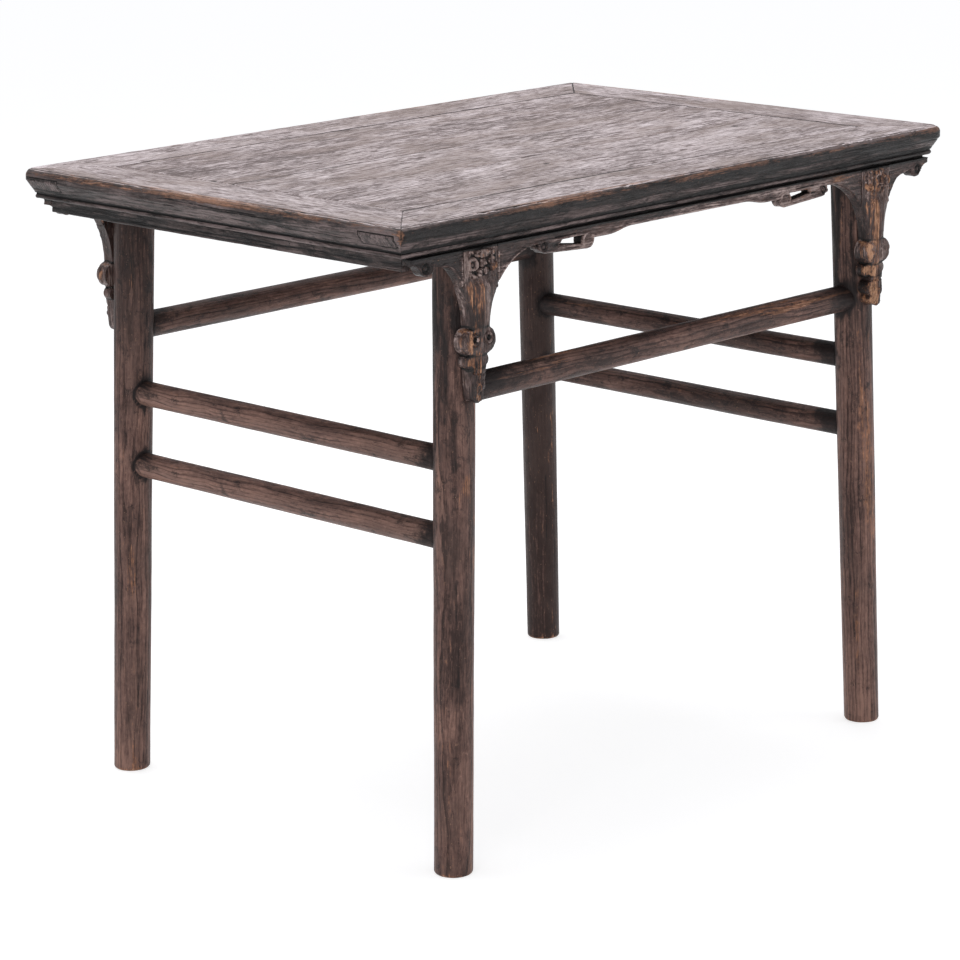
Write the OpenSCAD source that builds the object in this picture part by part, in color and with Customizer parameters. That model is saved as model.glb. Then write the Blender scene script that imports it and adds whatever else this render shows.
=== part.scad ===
// Offering table: a recessed-leg table with a mitred top frame round a floating panel,
// carved aprons and brackets at the long sides, splayed round legs and round stretchers.
// X runs along the length, Y from front to rear, Z up. The origin is the middle of the footprint.

/* [Table] */
// Length of the top
table_w = 1066; // [950:1:1250]
// Depth of the top
table_d = 698; // [620:1:800]
// Height of the top above the floor
table_h = 838; // [760:1:900]

/* [Top frame] */
// Thickness of the frame members
frame_t = 40; // [38:1:46]
// Width of the long frame members
long_w = 86; // [84:1:100]
// Width of the end frame members
end_w = 90; // [84:1:110]
// Radius of the worn upper arris
arris_r = 8; // [4:0.5:10]
// Height of the upright belly below the arris
belly_h = 7; // [3:0.5:9]
// Distance from the edge of the top in to the bead
bead_inset = 12; // [8:0.5:14]
// Height of the bead at the foot of the edge moulding
bead_h = 6; // [4:0.5:8]
// Depth of the quirk above the bead
quirk_d = 2; // [1:0.5:3]
// Height of the quirk above the bead
quirk_h = 2; // [1:0.5:3]
// Plan radius of the corner at the front left, the least worn
corner_fl_r = 9; // [4:1:28]
// Plan radius of the corner at the front right
corner_fr_r = 24; // [4:1:28]
// Plan radius of the corner at the rear right
corner_rr_r = 14; // [4:1:28]
// Plan radius of the corner at the rear left
corner_rl_r = 16; // [4:1:28]

/* [Corner tenons] */
// Width of the through tenons on the long members
tenon_w = 60; // [40:1:62]
// Thickness of the through tenons
tenon_t = 16; // [10:0.5:17]
// Distance from the long edge of the top to the through tenons
tenon_in = 12; // [10:0.5:13]
// Height of the through tenons above the frame's underside
tenon_z = 13.5; // [12:0.5:14]

/* [Panel] */
// Thickness of the panel boards
panel_t = 14; // [12:0.5:16]
// Thickness of the tongue round the panel
tongue_t = 5; // [4:0.5:6]
// Length of the tongue round the panel
tongue_l = 9; // [6:0.5:11]
// Length of the tongues between the boards
seam_l = 6; // [4:0.5:8]
// Thickness of the tongues between the boards
seam_t = 4; // [3:0.5:5]
// Open joint between the panel and the frame
panel_gap = 0.8; // [0.4:0.1:1.5]
// Place of the front seam between boards, from the middle towards the rear
seam_front_y = -95; // [-120:1:-60]
// Place of the rear seam between boards, from the middle towards the rear
seam_rear_y = 40; // [20:1:80]

/* [Battens] */
// Spacing of the three battens
batten_pitch = 250; // [200:1:290]
// Width of the battens
batten_w = 38; // [34:1:46]
// Height of the battens below the panel
batten_h = 24; // [20:1:26]
// Height of the dovetail key on the battens
key_h = 5; // [3:0.5:6]
// Width of the dovetail key at its root
key_w = 20; // [14:1:26]
// Flare of the dovetail key on each side
key_flare = 2; // [1:0.5:3]
// Width of the tenons at the ends of the battens
batten_tenon_w = 22; // [14:1:28]
// Thickness of the tenons at the ends of the battens
batten_tenon_t = 10; // [8:0.5:12]
// Length of the tenons at the ends of the battens
batten_tenon_l = 16; // [10:1:18]

/* [Legs] */
// Distance from the end of the top in to the leg's axis, at the leg's head
leg_inset_x = 146; // [130:1:170]
// Distance from the long edge of the top in to the leg's axis, at the leg's head
leg_inset_y = 55; // [52:0.5:57]
// How far each foot stands out from its head along the length
splay_x = 29; // [0:1:40]
// How far each foot stands out from its head across the depth
splay_y = 13; // [0:1:20]
// Diameter of the legs at the head
leg_head_d = 54.6; // [48:0.2:55]
// Diameter of the legs at the foot
leg_foot_d = 49.6; // [44:0.2:53]
// Height of the worn edge round the foot
foot_worn = 3; // [1:0.5:5]
// Width of the tenon on the leg's head along the length
head_tenon_w = 28; // [20:1:34]
// Thickness of the tenon on the leg's head across the depth
head_tenon_t = 20; // [14:1:22]
// Height of the tenon on the leg's head
head_tenon_h = 22; // [16:1:24]

/* [Stretchers] */
// Height of the long stretchers' axis above the floor
long_stretcher_z = 612.5; // [580:0.5:620]
// Diameter of the long stretchers
long_stretcher_d = 36.4; // [28:0.2:40]
// Height of the upper end stretchers' axis above the floor
upper_stretcher_z = 526; // [500:1:545]
// Height of the lower end stretchers' axis above the floor
lower_stretcher_z = 428; // [380:1:450]
// Diameter of the end stretchers
end_stretcher_d = 33.6; // [26:0.2:38]
// Thickness of the stretchers' tenons
stretcher_tenon_t = 10; // [8:0.5:13]
// Height of the stretchers' tenons
stretcher_tenon_h = 22; // [18:0.5:24]

/* [Aprons] */
// Distance from the leg's axis at its head out to the back of the long aprons
apron_seat = 27.5; // [27:0.1:29]
// Thickness of the long aprons
apron_t = 17; // [15:0.5:19]
// Height of the long aprons at mid-length
apron_h = 14; // [12:0.5:17]
// Distance from the end of the top in to the tips of the long aprons
apron_inset = 28; // [24:1:36]
// Open joint between the front of the aprons and the frame
shadow_gap = 3; // [1:0.5:4]
// Height of the tongues that hold the aprons in the frame
apron_tongue_h = 6; // [4:0.5:8]
// Thickness of the tongues that hold the aprons in the frame
apron_tongue_t = 7; // [5:0.5:8]
// Thickness of the end aprons
end_apron_t = 14; // [12:0.5:16]
// Height of the end aprons
end_apron_h = 19; // [15:0.5:24]

/* [Carving] */
// Radius of the hollow that runs from the apron down to a bracket, on the inner side
inner_hollow_r = 89; // [80:1:93]
// Radius of the hollow that runs up from a bracket to the apron, on the outer side
outer_hollow_r = 110; // [100:1:125]
// Radius of the turn from that hollow into the apron's lower edge
outer_turn_r = 25; // [20:1:30]
// Depth of the apron's lower edge at that turn, below the frame's underside
outer_edge_drop = 19; // [16:0.5:22]
// How much wider the outer side of each bracket is than the inner side, at its head
bracket_swell = 4.5; // [2:0.5:6]
// Distance from the leg's axis to the middle of the volute at the apron's end
volute_x = 91; // [86:1:94]
// Depth of the volute's middle below the frame's underside
volute_drop = 15; // [13:0.5:17]
// Radius of the volute at the apron's end
volute_r = 11.5; // [9:0.5:13]
// Radius of the hollow between the volute and the apron's tip
tail_r = 19; // [15:0.5:23]
// Depth of the apron's tip below the frame's underside
tip_drop = 10.5; // [8:0.5:13]
// Distance from the table's middle to the nose of each cloud scroll
scroll_x = 183; // [160:1:190]
// Length of each cloud scroll
scroll_l = 102; // [97:1:107]
// Depth of the cloud scrolls below the frame's underside
scroll_drop = 32; // [30:0.5:34]
// How far the lower edge of each cloud scroll rises from its nose to its head
scroll_rise = 4.5; // [2:0.5:6]
// Radius of each cloud scroll's nose
nose_r = 11; // [9:0.5:12]
// Height of the band that runs under each cloud scroll's opening
scroll_band = 7; // [5:0.5:8]
// Length of the opening in each cloud scroll
scroll_eye_l = 41; // [34:1:44]
// Depth of the opening's point below the apron's lower edge
scroll_eye_drop = 5.5; // [4:0.5:7]
// Length of the slope at the opening's point
scroll_eye_slant = 5; // [3:0.5:8]
// Radius of each cloud scroll's head, beyond the opening
scroll_head_r = 9.5; // [8:0.5:10.5]
// Distance from the end of each cloud scroll's tail back to the middle of its head
scroll_head_inset = 14; // [12:0.5:18]
// Radius of the rounded end of each cloud scroll's tail
scroll_tip_r = 5; // [4:0.5:6]
// Depth of the strip where it dips beside each scroll's nose
cusp_drop = 20; // [18:0.5:22]
// Length of the slope down to the dip
cusp_l = 45; // [36:1:50]
// Length of the level bottom of the dip
cusp_flat_l = 26; // [20:1:32]
// Gap between the bottom of the dip and the scroll's nose
cusp_gap = 2; // [1:0.5:4]
// Radius of the raised eyes of the scrolls and volutes
eye_r = 4; // [2:0.5:5]
// Height of the raised eyes of the scrolls and volutes
eye_h = 1.5; // [0.5:0.5:3]

/* [Brackets] */
// Length of the brackets below the frame's underside
bracket_l = 194; // [180:1:210]
// Width of the brackets above their curls
bracket_w = 29; // [26:1:32]
// Width of the brackets at the waist, below their curls
bracket_waist_w = 28; // [25:1:32]
// Height of the waist above the foot of the bracket
waist_h = 50; // [44:1:56]
// Width of the rounded tip at the foot of each bracket
bracket_tip_w = 18; // [14:1:26]
// Width of the bracket's head, which is lapped into the apron
bracket_head_w = 60; // [56:1:64]
// Thickness of the bracket's head where it laps over the apron
lap_t = 8.5; // [6:0.5:10]
// Height of the rib down the middle of each bracket, at its head
rib_h = 7; // [4:0.5:8]
// Height of the rib at the bracket's foot
rib_foot_h = 1.5; // [0.5:0.5:4]
// Width of the rib down the middle of each bracket
rib_w = 25; // [18:1:28]
// Depth of the rib's head below the frame's underside
rib_drop = 33; // [28:1:40]
// Depth of the curls' middle below the frame's underside
curl_drop = 117; // [110:1:122]
// Radius of the two curls on each bracket
curl_r = 17; // [14:0.5:18]
// Width over the two curls of each bracket
curl_span = 55; // [48:1:58]
// Radius of the two small curls below them
low_curl_r = 9; // [7:0.5:10]
// Distance down from the curls to the small curls
low_curl_drop = 25; // [22:1:28]
// Spacing of the small curls, from one middle to the other
low_curl_span = 22; // [18:1:24]
// How far the curls stand out from the bracket's face
curl_proud = 2; // [0.5:0.5:3]
// How far the small curls lie behind the bracket's face
low_curl_back = 4; // [1:0.5:6]
// Radius of the middle lobe of the boss at the bracket's head
boss_r = 13; // [10:0.5:14]
// Radius of the lobes round it
boss_ring_r = 8.5; // [6:0.5:9]
// How far the lobes run into the middle one
boss_lap = 2; // [1:0.5:4]
// How far the lobes lie behind the middle one
boss_ring_back = 3; // [1:0.5:5]
// Depth of the boss's middle below the frame's underside
boss_drop = 21; // [18:0.5:24]
// How far the boss stands out from the face of the apron
boss_proud = 9; // [4:0.5:9.5]

/* [Fits] */
// Clearance round tenons, tongues and laps
joint_gap = 0.2; // [0.1:0.05:0.3]
// Clearance between the stretchers' coped shoulders and the legs
cope_gap = 0.25; // [0.1:0.05:0.3]

/* [Hidden] */
$fn = 48;
eps = 0.01;
// How far the parts of one piece run into each other, and how far a cut runs past a face
bite = 1;

under_z = table_h - frame_t;
panel_z = table_h - panel_t;
inner_x = table_w / 2 - end_w;
inner_y = table_d / 2 - long_w;

leg_head_x = table_w / 2 - leg_inset_x;
leg_head_y = table_d / 2 - leg_inset_y;
leg_foot_x = leg_head_x + splay_x;
leg_foot_y = leg_head_y + splay_y;
leg_run = norm([splay_x, splay_y, under_z]);
lean_x = -asin(splay_x / norm([splay_x, under_z]));
lean_y = asin(splay_y / leg_run);

apron_back = leg_head_y + apron_seat;
apron_face = apron_back + apron_t;
apron_tip = table_w / 2 - apron_inset;

// The carving's middles, as [distance from the leg's axis, height from the frame's underside]: the
// hollows down into the bracket, the turn from the outer one into the apron, the volute and its tail
inner_hollow = [bracket_w / 2 + inner_hollow_r, -apron_h - inner_hollow_r];
outer_turn_a = 140.3;
turn_offset = (outer_hollow_r - outer_turn_r) * [cos(outer_turn_a), sin(outer_turn_a)];
outer_hollow_x = bracket_w / 2 + bracket_swell + outer_hollow_r;
outer_turn = [outer_hollow_x + turn_offset[0], -outer_edge_drop - outer_turn_r];
outer_hollow = outer_turn - turn_offset;
volute = [volute_x, -volute_drop];
volute_end_a = 325;
tail = [apron_tip - leg_head_x, -tip_drop - tail_r];
tail_from_a = 155;

// Middles of the scroll's parts, as [distance from its nose, height from the frame's underside]
scroll_nose = [nose_r, nose_r - scroll_drop];
scroll_head = [scroll_l - scroll_head_inset, scroll_rise + scroll_head_r - scroll_drop];
scroll_tip = [scroll_l - scroll_tip_r, bite - apron_h - scroll_tip_r];
scroll_eye_end = [2 * nose_r + scroll_eye_l, -apron_h - scroll_eye_drop];

wood_top = [0.47, 0.41, 0.40];
wood_edge = [0.27, 0.23, 0.22];
wood_leg = [0.33, 0.25, 0.21];
wood_carved = [0.38, 0.27, 0.21];
wood_inside = [0.36, 0.29, 0.24];

// Place of a leg's axis at height z, and the leg's radius there
function leg_x(z) = leg_foot_x - splay_x * z / under_z;
function leg_y(z) = leg_foot_y - splay_y * z / under_z;

// Points along an arc about [x, y], from angle a to angle b in degrees
function arc(x, y, r, a, b, steps) =
    [for (i = [0:steps]) [x + r * cos(a + (b - a) * i / steps), y + r * sin(a + (b - a) * i / steps)]];

module quadrant(side_x, side_y) {
    mirror([side_x < 0 ? 1 : 0, 0, 0])
        mirror([0, side_y < 0 ? 1 : 0, 0])
            children();
}

module box(low, high) {
    translate(low) cube(high - low);
}

// Edge moulding of the top: x runs in from the edge, y up from the underside
module edge_section(width) {
    bead_r = bead_h / 2;
    belly_z = frame_t - arris_r - belly_h;
    translate([arris_r, frame_t - arris_r])
        circle(arris_r);
    translate([arris_r, belly_z])
        square([width - arris_r, frame_t - belly_z]);
    translate([0, belly_z])
        square([width, belly_h]);
    polygon([
        [0, belly_z],
        [bead_inset, bead_h + quirk_h],
        [bead_inset + quirk_d, bead_h + quirk_h],
        [bead_inset + quirk_d, bead_h],
        [bead_inset + bead_r, bead_h],
        [bead_inset + bead_r, 0],
        [width, 0],
        [width, belly_z]
    ]);
    translate([bead_inset + bead_r, bead_r])
        circle(bead_r);
}

// A full-length bar with the edge moulding, before its mitres: front, then left
module long_bar() {
    translate([-table_w / 2, -table_d / 2, under_z])
        rotate([90, 0, 90])
            linear_extrude(table_w)
                edge_section(long_w);
}

module end_bar() {
    translate([-table_w / 2, table_d / 2, under_z])
        rotate([90, 0, 0])
            linear_extrude(table_d)
                edge_section(end_w);
}

// Outline of the worn top, seen from above
module worn_outline() {
    corners = [[-1, -1, corner_fl_r], [1, -1, corner_fr_r], [1, 1, corner_rr_r], [-1, 1, corner_rl_r]];
    difference() {
        square([table_w, table_d], center = true);
        for (c = corners)
            translate([c[0] * (table_w / 2 - c[2]), c[1] * (table_d / 2 - c[2])])
                difference() {
                    translate([c[0] > 0 ? 0 : -c[2] - bite, c[1] > 0 ? 0 : -c[2] - bite])
                        square(c[2] + bite);
                    circle(c[2]);
                }
    }
}

module worn_block() {
    translate([0, 0, under_z])
        linear_extrude(frame_t)
            worn_outline();
}

// Through tenon of a front corner on the left, with or without clearance
module corner_tenon(gap) {
    box([-table_w / 2 - gap, -table_d / 2 + tenon_in - gap, under_z + tenon_z - gap],
        [-inner_x - eps, -table_d / 2 + tenon_in + tenon_w + gap, under_z + tenon_z + tenon_t + gap]);
}

// Room for the panel's tongue in the frame
module panel_room() {
    reach = tongue_l + joint_gap;
    box([-inner_x - reach, -inner_y - reach, panel_z - joint_gap],
        [inner_x + reach, inner_y + reach, panel_z + tongue_t + joint_gap]);
}

// Tongue of a long apron, at the front
module long_tongue(gap) {
    box([-apron_tip - gap, -apron_back - apron_tongue_t - gap, under_z - shadow_gap],
        [apron_tip + gap, -apron_back + gap, under_z + apron_tongue_h]);
}

// Tongue of an end apron, at the left
module end_tongue(gap) {
    box([-apron_tip + end_apron_t - apron_tongue_t - gap, -apron_back - gap, under_z - eps],
        [-apron_tip + end_apron_t + gap, apron_back + gap, under_z + apron_tongue_h]);
}

module head_tenon(gap) {
    translate([leg_head_x - head_tenon_w / 2 - gap, leg_head_y - head_tenon_t / 2 - gap, under_z - eps])
        cube([head_tenon_w + 2 * gap, head_tenon_t + 2 * gap, head_tenon_h + eps + gap]);
}

module batten_tenons(place, gap) {
    mid_z = panel_z - batten_h / 2;
    reach = inner_y + batten_tenon_l + gap;
    box([place - batten_tenon_w / 2 - gap, -reach, mid_z - batten_tenon_t / 2 - gap],
        [place + batten_tenon_w / 2 + gap, reach, mid_z + batten_tenon_t / 2 + gap]);
}

// Everything that is let into the frame from inside and from below
module frame_rooms() {
    panel_room();
    for (side = [0, 1])
        mirror([0, side, 0])
            long_tongue(joint_gap);
    for (side = [0, 1])
        mirror([side, 0, 0])
            end_tongue(joint_gap);
    for (side_x = [-1, 1], side_y = [-1, 1])
        quadrant(side_x, side_y)
            head_tenon(joint_gap);
    for (i = [-1, 0, 1])
        batten_tenons(i * batten_pitch, joint_gap);
}

module frame_long(side) {
    half_w = table_w / 2;
    half_d = table_d / 2;
    color(wood_edge)
        intersection() {
            worn_block();
            mirror([0, side > 0 ? 1 : 0, 0])
                union() {
                    difference() {
                        intersection() {
                            long_bar();
                            translate([0, 0, under_z])
                                linear_extrude(frame_t)
                                    polygon([
                                        [-half_w, -half_d], [half_w, -half_d],
                                        [inner_x, -inner_y], [-inner_x, -inner_y]
                                    ]);
                        }
                        frame_rooms();
                    }
                    for (end = [0, 1])
                        mirror([end, 0, 0])
                            intersection() {
                                corner_tenon(0);
                                end_bar();
                            }
                }
        }
}

module frame_end(side) {
    half_w = table_w / 2;
    half_d = table_d / 2;
    color(wood_edge)
        intersection() {
            worn_block();
            mirror([side > 0 ? 1 : 0, 0, 0])
                difference() {
                    intersection() {
                        end_bar();
                        translate([0, 0, under_z])
                            linear_extrude(frame_t)
                                polygon([
                                    [-half_w, -half_d], [-inner_x, -inner_y],
                                    [-inner_x, inner_y], [-half_w, half_d]
                                ]);
                    }
                    frame_rooms();
                    for (end = [0, 1])
                        mirror([0, end, 0])
                            corner_tenon(joint_gap);
                }
        }
}

// Dovetail key of a batten, along the depth of the table
module batten_key(place, gap) {
    root = key_w / 2 + gap;
    crest = root + key_flare;
    translate([place, inner_y - panel_gap + gap, panel_z])
        rotate([90, 0, 0])
            linear_extrude(2 * (inner_y - panel_gap + gap))
                polygon([[-root, -eps], [root, -eps], [crest, key_h + gap], [-crest, key_h + gap]]);
}

// One board of the panel between two places across the depth
module board(from_y, to_y) {
    first = from_y <= -inner_y;
    last = to_y >= inner_y;
    low_y = first ? -inner_y + panel_gap : from_y;
    high_y = last ? inner_y - panel_gap : to_y;
    side_x = inner_x - panel_gap;
    seam_z = panel_z + (panel_t - seam_t) / 2;
    color(wood_top)
        difference() {
            union() {
                box([-side_x, low_y, panel_z], [side_x, high_y, table_h]);
                box([-inner_x - tongue_l, first ? -inner_y - tongue_l : low_y, panel_z],
                    [inner_x + tongue_l, last ? inner_y + tongue_l : high_y, panel_z + tongue_t]);
                if (!last)
                    box([-side_x, to_y - eps, seam_z], [side_x, to_y + seam_l, seam_z + seam_t]);
            }
            if (!first)
                box([-inner_x - tongue_l - bite, from_y - bite, seam_z - joint_gap],
                    [inner_x + tongue_l + bite, from_y + seam_l + joint_gap, seam_z + seam_t + joint_gap]);
            for (i = [-1, 0, 1])
                batten_key(i * batten_pitch, joint_gap);
        }
}

module batten(place) {
    color(wood_inside) {
        box([place - batten_w / 2, -inner_y, panel_z - batten_h], [place + batten_w / 2, inner_y, panel_z]);
        batten_key(place, 0);
        batten_tenons(place, 0);
    }
}

// The leg's own line: its foot at the floor, its head under the frame
module along_leg() {
    translate([leg_foot_x, leg_foot_y, 0])
        rotate([lean_y, lean_x, 0])
            children();
}

// Tapered round of a leg, grown by gap, before it is cut to the floor and the frame
module leg_round(gap) {
    spare = 30;
    foot_r = leg_foot_d / 2 + gap;
    head_r = leg_head_d / 2 + gap;
    grow = (head_r - foot_r) / leg_run;
    along_leg()
        translate([0, 0, -spare])
            cylinder(h = leg_run + 2 * spare, r1 = foot_r - grow * spare, r2 = head_r + grow * spare);
}

// Space inside the worn edge round the foot
module foot_cone() {
    foot_r = leg_foot_d / 2;
    rise = table_h;
    along_leg()
        translate([0, 0, -foot_worn])
            cylinder(h = rise, r1 = foot_r - 2 * foot_worn, r2 = foot_r - 2 * foot_worn + rise);
}

// Tenon of a stretcher along the length, from the leg's axis inwards
module long_tenon(gap) {
    reach = leg_x(long_stretcher_z);
    translate([0, leg_y(long_stretcher_z), long_stretcher_z])
        cube([2 * (reach + gap), stretcher_tenon_t + 2 * gap, stretcher_tenon_h + 2 * gap], center = true);
}

// Tenon of an end stretcher across the depth
module cross_tenon(z, gap) {
    reach = leg_y(z);
    translate([leg_x(z), 0, z])
        cube([stretcher_tenon_t + 2 * gap, 2 * (reach + gap), stretcher_tenon_h + 2 * gap], center = true);
}

module leg(side_x, side_y) {
    color(wood_leg)
        quadrant(side_x, side_y) {
            difference() {
                intersection() {
                    leg_round(0);
                    foot_cone();
                    box([0, 0, 0], [table_w, table_d, under_z]);
                }
                // flat on the outer face, against which the bracket lies
                translate([0, 0, under_z - bracket_l])
                    box([0, apron_back, 0], [table_w, table_d, bracket_l + bite]);
                long_tenon(joint_gap);
                cross_tenon(upper_stretcher_z, joint_gap);
                cross_tenon(lower_stretcher_z, joint_gap);
            }
            head_tenon(0);
        }
}

module stretcher_long(side) {
    reach = leg_x(long_stretcher_z);
    color(wood_leg)
        mirror([0, side < 0 ? 1 : 0, 0]) {
            difference() {
                translate([-reach, leg_y(long_stretcher_z), long_stretcher_z])
                    rotate([0, 90, 0])
                        cylinder(h = 2 * reach, d = long_stretcher_d);
                leg_round(cope_gap);
                mirror([1, 0, 0])
                    leg_round(cope_gap);
            }
            long_tenon(0);
        }
}

module stretcher_end(side, z) {
    reach = leg_y(z);
    color(wood_leg)
        mirror([side < 0 ? 1 : 0, 0, 0]) {
            difference() {
                translate([leg_x(z), reach, z])
                    rotate([90, 0, 0])
                        cylinder(h = 2 * reach, d = end_stretcher_d);
                leg_round(cope_gap);
                mirror([0, 1, 0])
                    leg_round(cope_gap);
            }
            cross_tenon(z, 0);
        }
}

// Upright slab from one depth to another, its outline drawn in x and in height from the frame's underside
module slab(from_y, to_y) {
    translate([0, to_y, under_z])
        rotate([90, 0, 0])
            linear_extrude(to_y - from_y)
                children();
}

// Angle at which the upper side of a circle has the given x
function arc_angle(centre, r, x) = acos((x - centre[0]) / r);

// Hollows of the right-hand leg from the bracket's head up to the apron
function inner_edge() = [
    for (p = arc(inner_hollow[0], inner_hollow[1], inner_hollow_r,
                 arc_angle(inner_hollow, inner_hollow_r, bracket_head_w / 2 + joint_gap), 90, 8))
        [leg_head_x - p[0], p[1]]
];
function outer_edge() = concat(
    arc(outer_hollow[0], outer_hollow[1], outer_hollow_r,
        arc_angle(outer_hollow, outer_hollow_r, bracket_head_w / 2 + joint_gap), outer_turn_a, 3),
    arc(outer_turn[0], outer_turn[1], outer_turn_r, outer_turn_a, 90, 5));
function shift_x(points, x) = [for (p = points) [p[0] + x, p[1]]];
function reversed(points) = [for (i = [len(points) - 1:-1:0]) points[i]];

// Right half of a long apron, from the middle out to the tip
module apron_half() {
    side = bracket_head_w / 2 + joint_gap;
    cusp_end = scroll_x - cusp_gap;
    cusp_x = cusp_end - cusp_flat_l - cusp_l;
    steps = 6;
    cusp = [
        for (i = [0:steps])
            [cusp_x + cusp_l * i / steps, -apron_h - (cusp_drop - apron_h) * (1 - cos(180 * i / steps)) / 2]
    ];
    polygon(concat(
        [[-bite, -shadow_gap], [-bite, -apron_h]],
        cusp,
        [[cusp_end, -cusp_drop], [scroll_x + nose_r, -apron_h]],
        reversed(inner_edge()),
        [[leg_head_x - side, -apron_h], [leg_head_x + side, -apron_h]],
        shift_x(outer_edge(), leg_head_x),
        shift_x(arc(volute[0], volute[1], volute_r, 180, volute_end_a, 10), leg_head_x),
        shift_x(arc(tail[0], tail[1], tail_r, tail_from_a, 90, 5), leg_head_x),
        [[apron_tip, -shadow_gap]]
    ));
}

// Cloud scroll beside the middle, on the right: its nose, the band under its opening, which narrows to a
// point towards the leg, its head and its tail
module scroll() {
    low = -scroll_drop;
    high = bite - apron_h;
    translate([scroll_x, 0]) {
        translate(scroll_nose)
            circle(nose_r);
        translate(scroll_head)
            circle(scroll_head_r);
        translate(scroll_tip)
            circle(scroll_tip_r);
        polygon([
            [scroll_nose[0], low],
            [scroll_head[0], low + scroll_rise],
            [scroll_tip[0], scroll_tip[1] - scroll_tip_r],
            [scroll_tip[0], high],
            [scroll_eye_end[0] - scroll_eye_slant, high],
            scroll_eye_end,
            [2 * nose_r, low + scroll_band],
            [scroll_nose[0], low + scroll_band]
        ]);
    }
}

module both_halves() {
    children();
    mirror([1, 0, 0])
        children();
}

module apron_long(side) {
    lap_floor = apron_face - lap_t;
    lap_w = bracket_head_w + 2 * joint_gap;
    color(wood_carved)
        mirror([0, side < 0 ? 1 : 0, 0])
            difference() {
                union() {
                    slab(apron_back, apron_face)
                        both_halves() {
                            apron_half();
                            scroll();
                        }
                    slab(apron_face - bite, apron_face + eye_h)
                        both_halves() {
                            translate([leg_head_x, 0])
                                translate(volute)
                                    circle(eye_r);
                            for (middle = [scroll_nose, scroll_head])
                                translate([scroll_x, 0])
                                    translate(middle)
                                        circle(eye_r);
                        }
                    slab(apron_back, apron_back + apron_tongue_t)
                        translate([-apron_tip, -shadow_gap - bite])
                            square([2 * apron_tip, apron_tongue_h + shadow_gap + bite]);
                }
                slab(lap_floor, apron_face + bite)
                    both_halves()
                        translate([leg_head_x - lap_w / 2, -apron_h - bite])
                            square([lap_w, apron_h + bite]);
            }
}

module apron_end(side) {
    color(wood_carved)
        mirror([side > 0 ? 1 : 0, 0, 0]) {
            box([-apron_tip, -apron_back, under_z - end_apron_h],
                [-apron_tip + end_apron_t, apron_back, under_z]);
            end_tongue(0);
        }
}

// The brackets lean along the length with the legs
function lean(z) = -z * splay_x / under_z;
function leaned(points) = [for (p = points) [leg_head_x + p[0] + lean(p[1]), p[1]]];

module bracket_outline() {
    side = bracket_head_w / 2;
    half = bracket_waist_w / 2;
    tip_r = bracket_tip_w / 2;
    waist_z = -bracket_l + waist_h;
    inner = [
        for (p = arc(inner_hollow[0], inner_hollow[1], inner_hollow_r,
                     180, arc_angle(inner_hollow, inner_hollow_r, side), 6))
            [-p[0], p[1]]
    ];
    outer = arc(outer_hollow[0], outer_hollow[1], outer_hollow_r,
                arc_angle(outer_hollow, outer_hollow_r, side), 180, 5);
    polygon(concat(
        [[leg_head_x - side, -shadow_gap], [leg_head_x + side, -shadow_gap]],
        shift_x(outer, leg_head_x),
        leaned([[half, waist_z]]),
        leaned(arc(0, -bracket_l + tip_r, tip_r, 0, -180, 10)),
        leaned([[-half, waist_z]]),
        shift_x(inner, leg_head_x)
    ));
}

// The two curls at the sides of the bracket
module curl_outline() {
    for (end = [-1, 1])
        translate([leg_head_x + lean(-curl_drop) + end * (curl_span / 2 - curl_r), -curl_drop])
            circle(curl_r);
}

// The two small curls below them
module low_curl_outline() {
    low_z = -curl_drop - low_curl_drop;
    for (end = [-1, 1])
        translate([leg_head_x + lean(low_z) + end * low_curl_span / 2, low_z])
            circle(low_curl_r);
}

// Boss at the bracket's head: a middle lobe ringed by six smaller ones, which lie a little lower
module bracket_boss() {
    ring_x = boss_r + boss_ring_r - boss_lap;
    ring_z = boss_r;
    ring_proud = boss_proud - boss_ring_back;
    intersection() {
        translate([leg_head_x, 0, under_z - boss_drop]) {
            translate([0, apron_face + boss_proud - boss_r, 0])
                sphere(boss_r);
            for (a = [0:60:300])
                translate([ring_x * cos(a), apron_face + ring_proud - boss_ring_r, ring_z * sin(a)])
                    sphere(boss_ring_r);
        }
        slab(apron_face - bite, table_d / 2)
            translate([leg_head_x - bracket_head_w / 2, -bracket_l])
                square([bracket_head_w, bracket_l - shadow_gap]);
    }
}

// Rib down the middle of the bracket, along the lean of the leg, which sinks towards the foot
module bracket_rib() {
    half = rib_w / 2;
    rib_fall = rib_h - rib_foot_h;
    rib_tilt = asin(rib_fall / (bracket_l - rib_drop));
    intersection() {
        translate([leg_head_x + lean(-bracket_l), apron_face - rib_fall, under_z - bracket_l])
            rotate([-rib_tilt, lean_x, 0])
                linear_extrude(bracket_l - rib_drop)
                    polygon([[-half, -rib_h], [-half, 0], [0, rib_h], [half, 0], [half, -rib_h]]);
        slab(apron_back, apron_face + rib_h)
            bracket_outline();
    }
}

module bracket(side_x, side_y) {
    color(wood_carved)
        quadrant(side_x, side_y)
            difference() {
                union() {
                    slab(apron_back, apron_face)
                        bracket_outline();
                    slab(apron_back, apron_face + curl_proud)
                        curl_outline();
                    slab(apron_back, apron_face - low_curl_back)
                        low_curl_outline();
                    bracket_rib();
                    bracket_boss();
                }
                slab(apron_back - bite, apron_face - lap_t)
                    translate([leg_head_x - bracket_head_w, -apron_h])
                        square([2 * bracket_head_w, apron_h]);
            }
}

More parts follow.
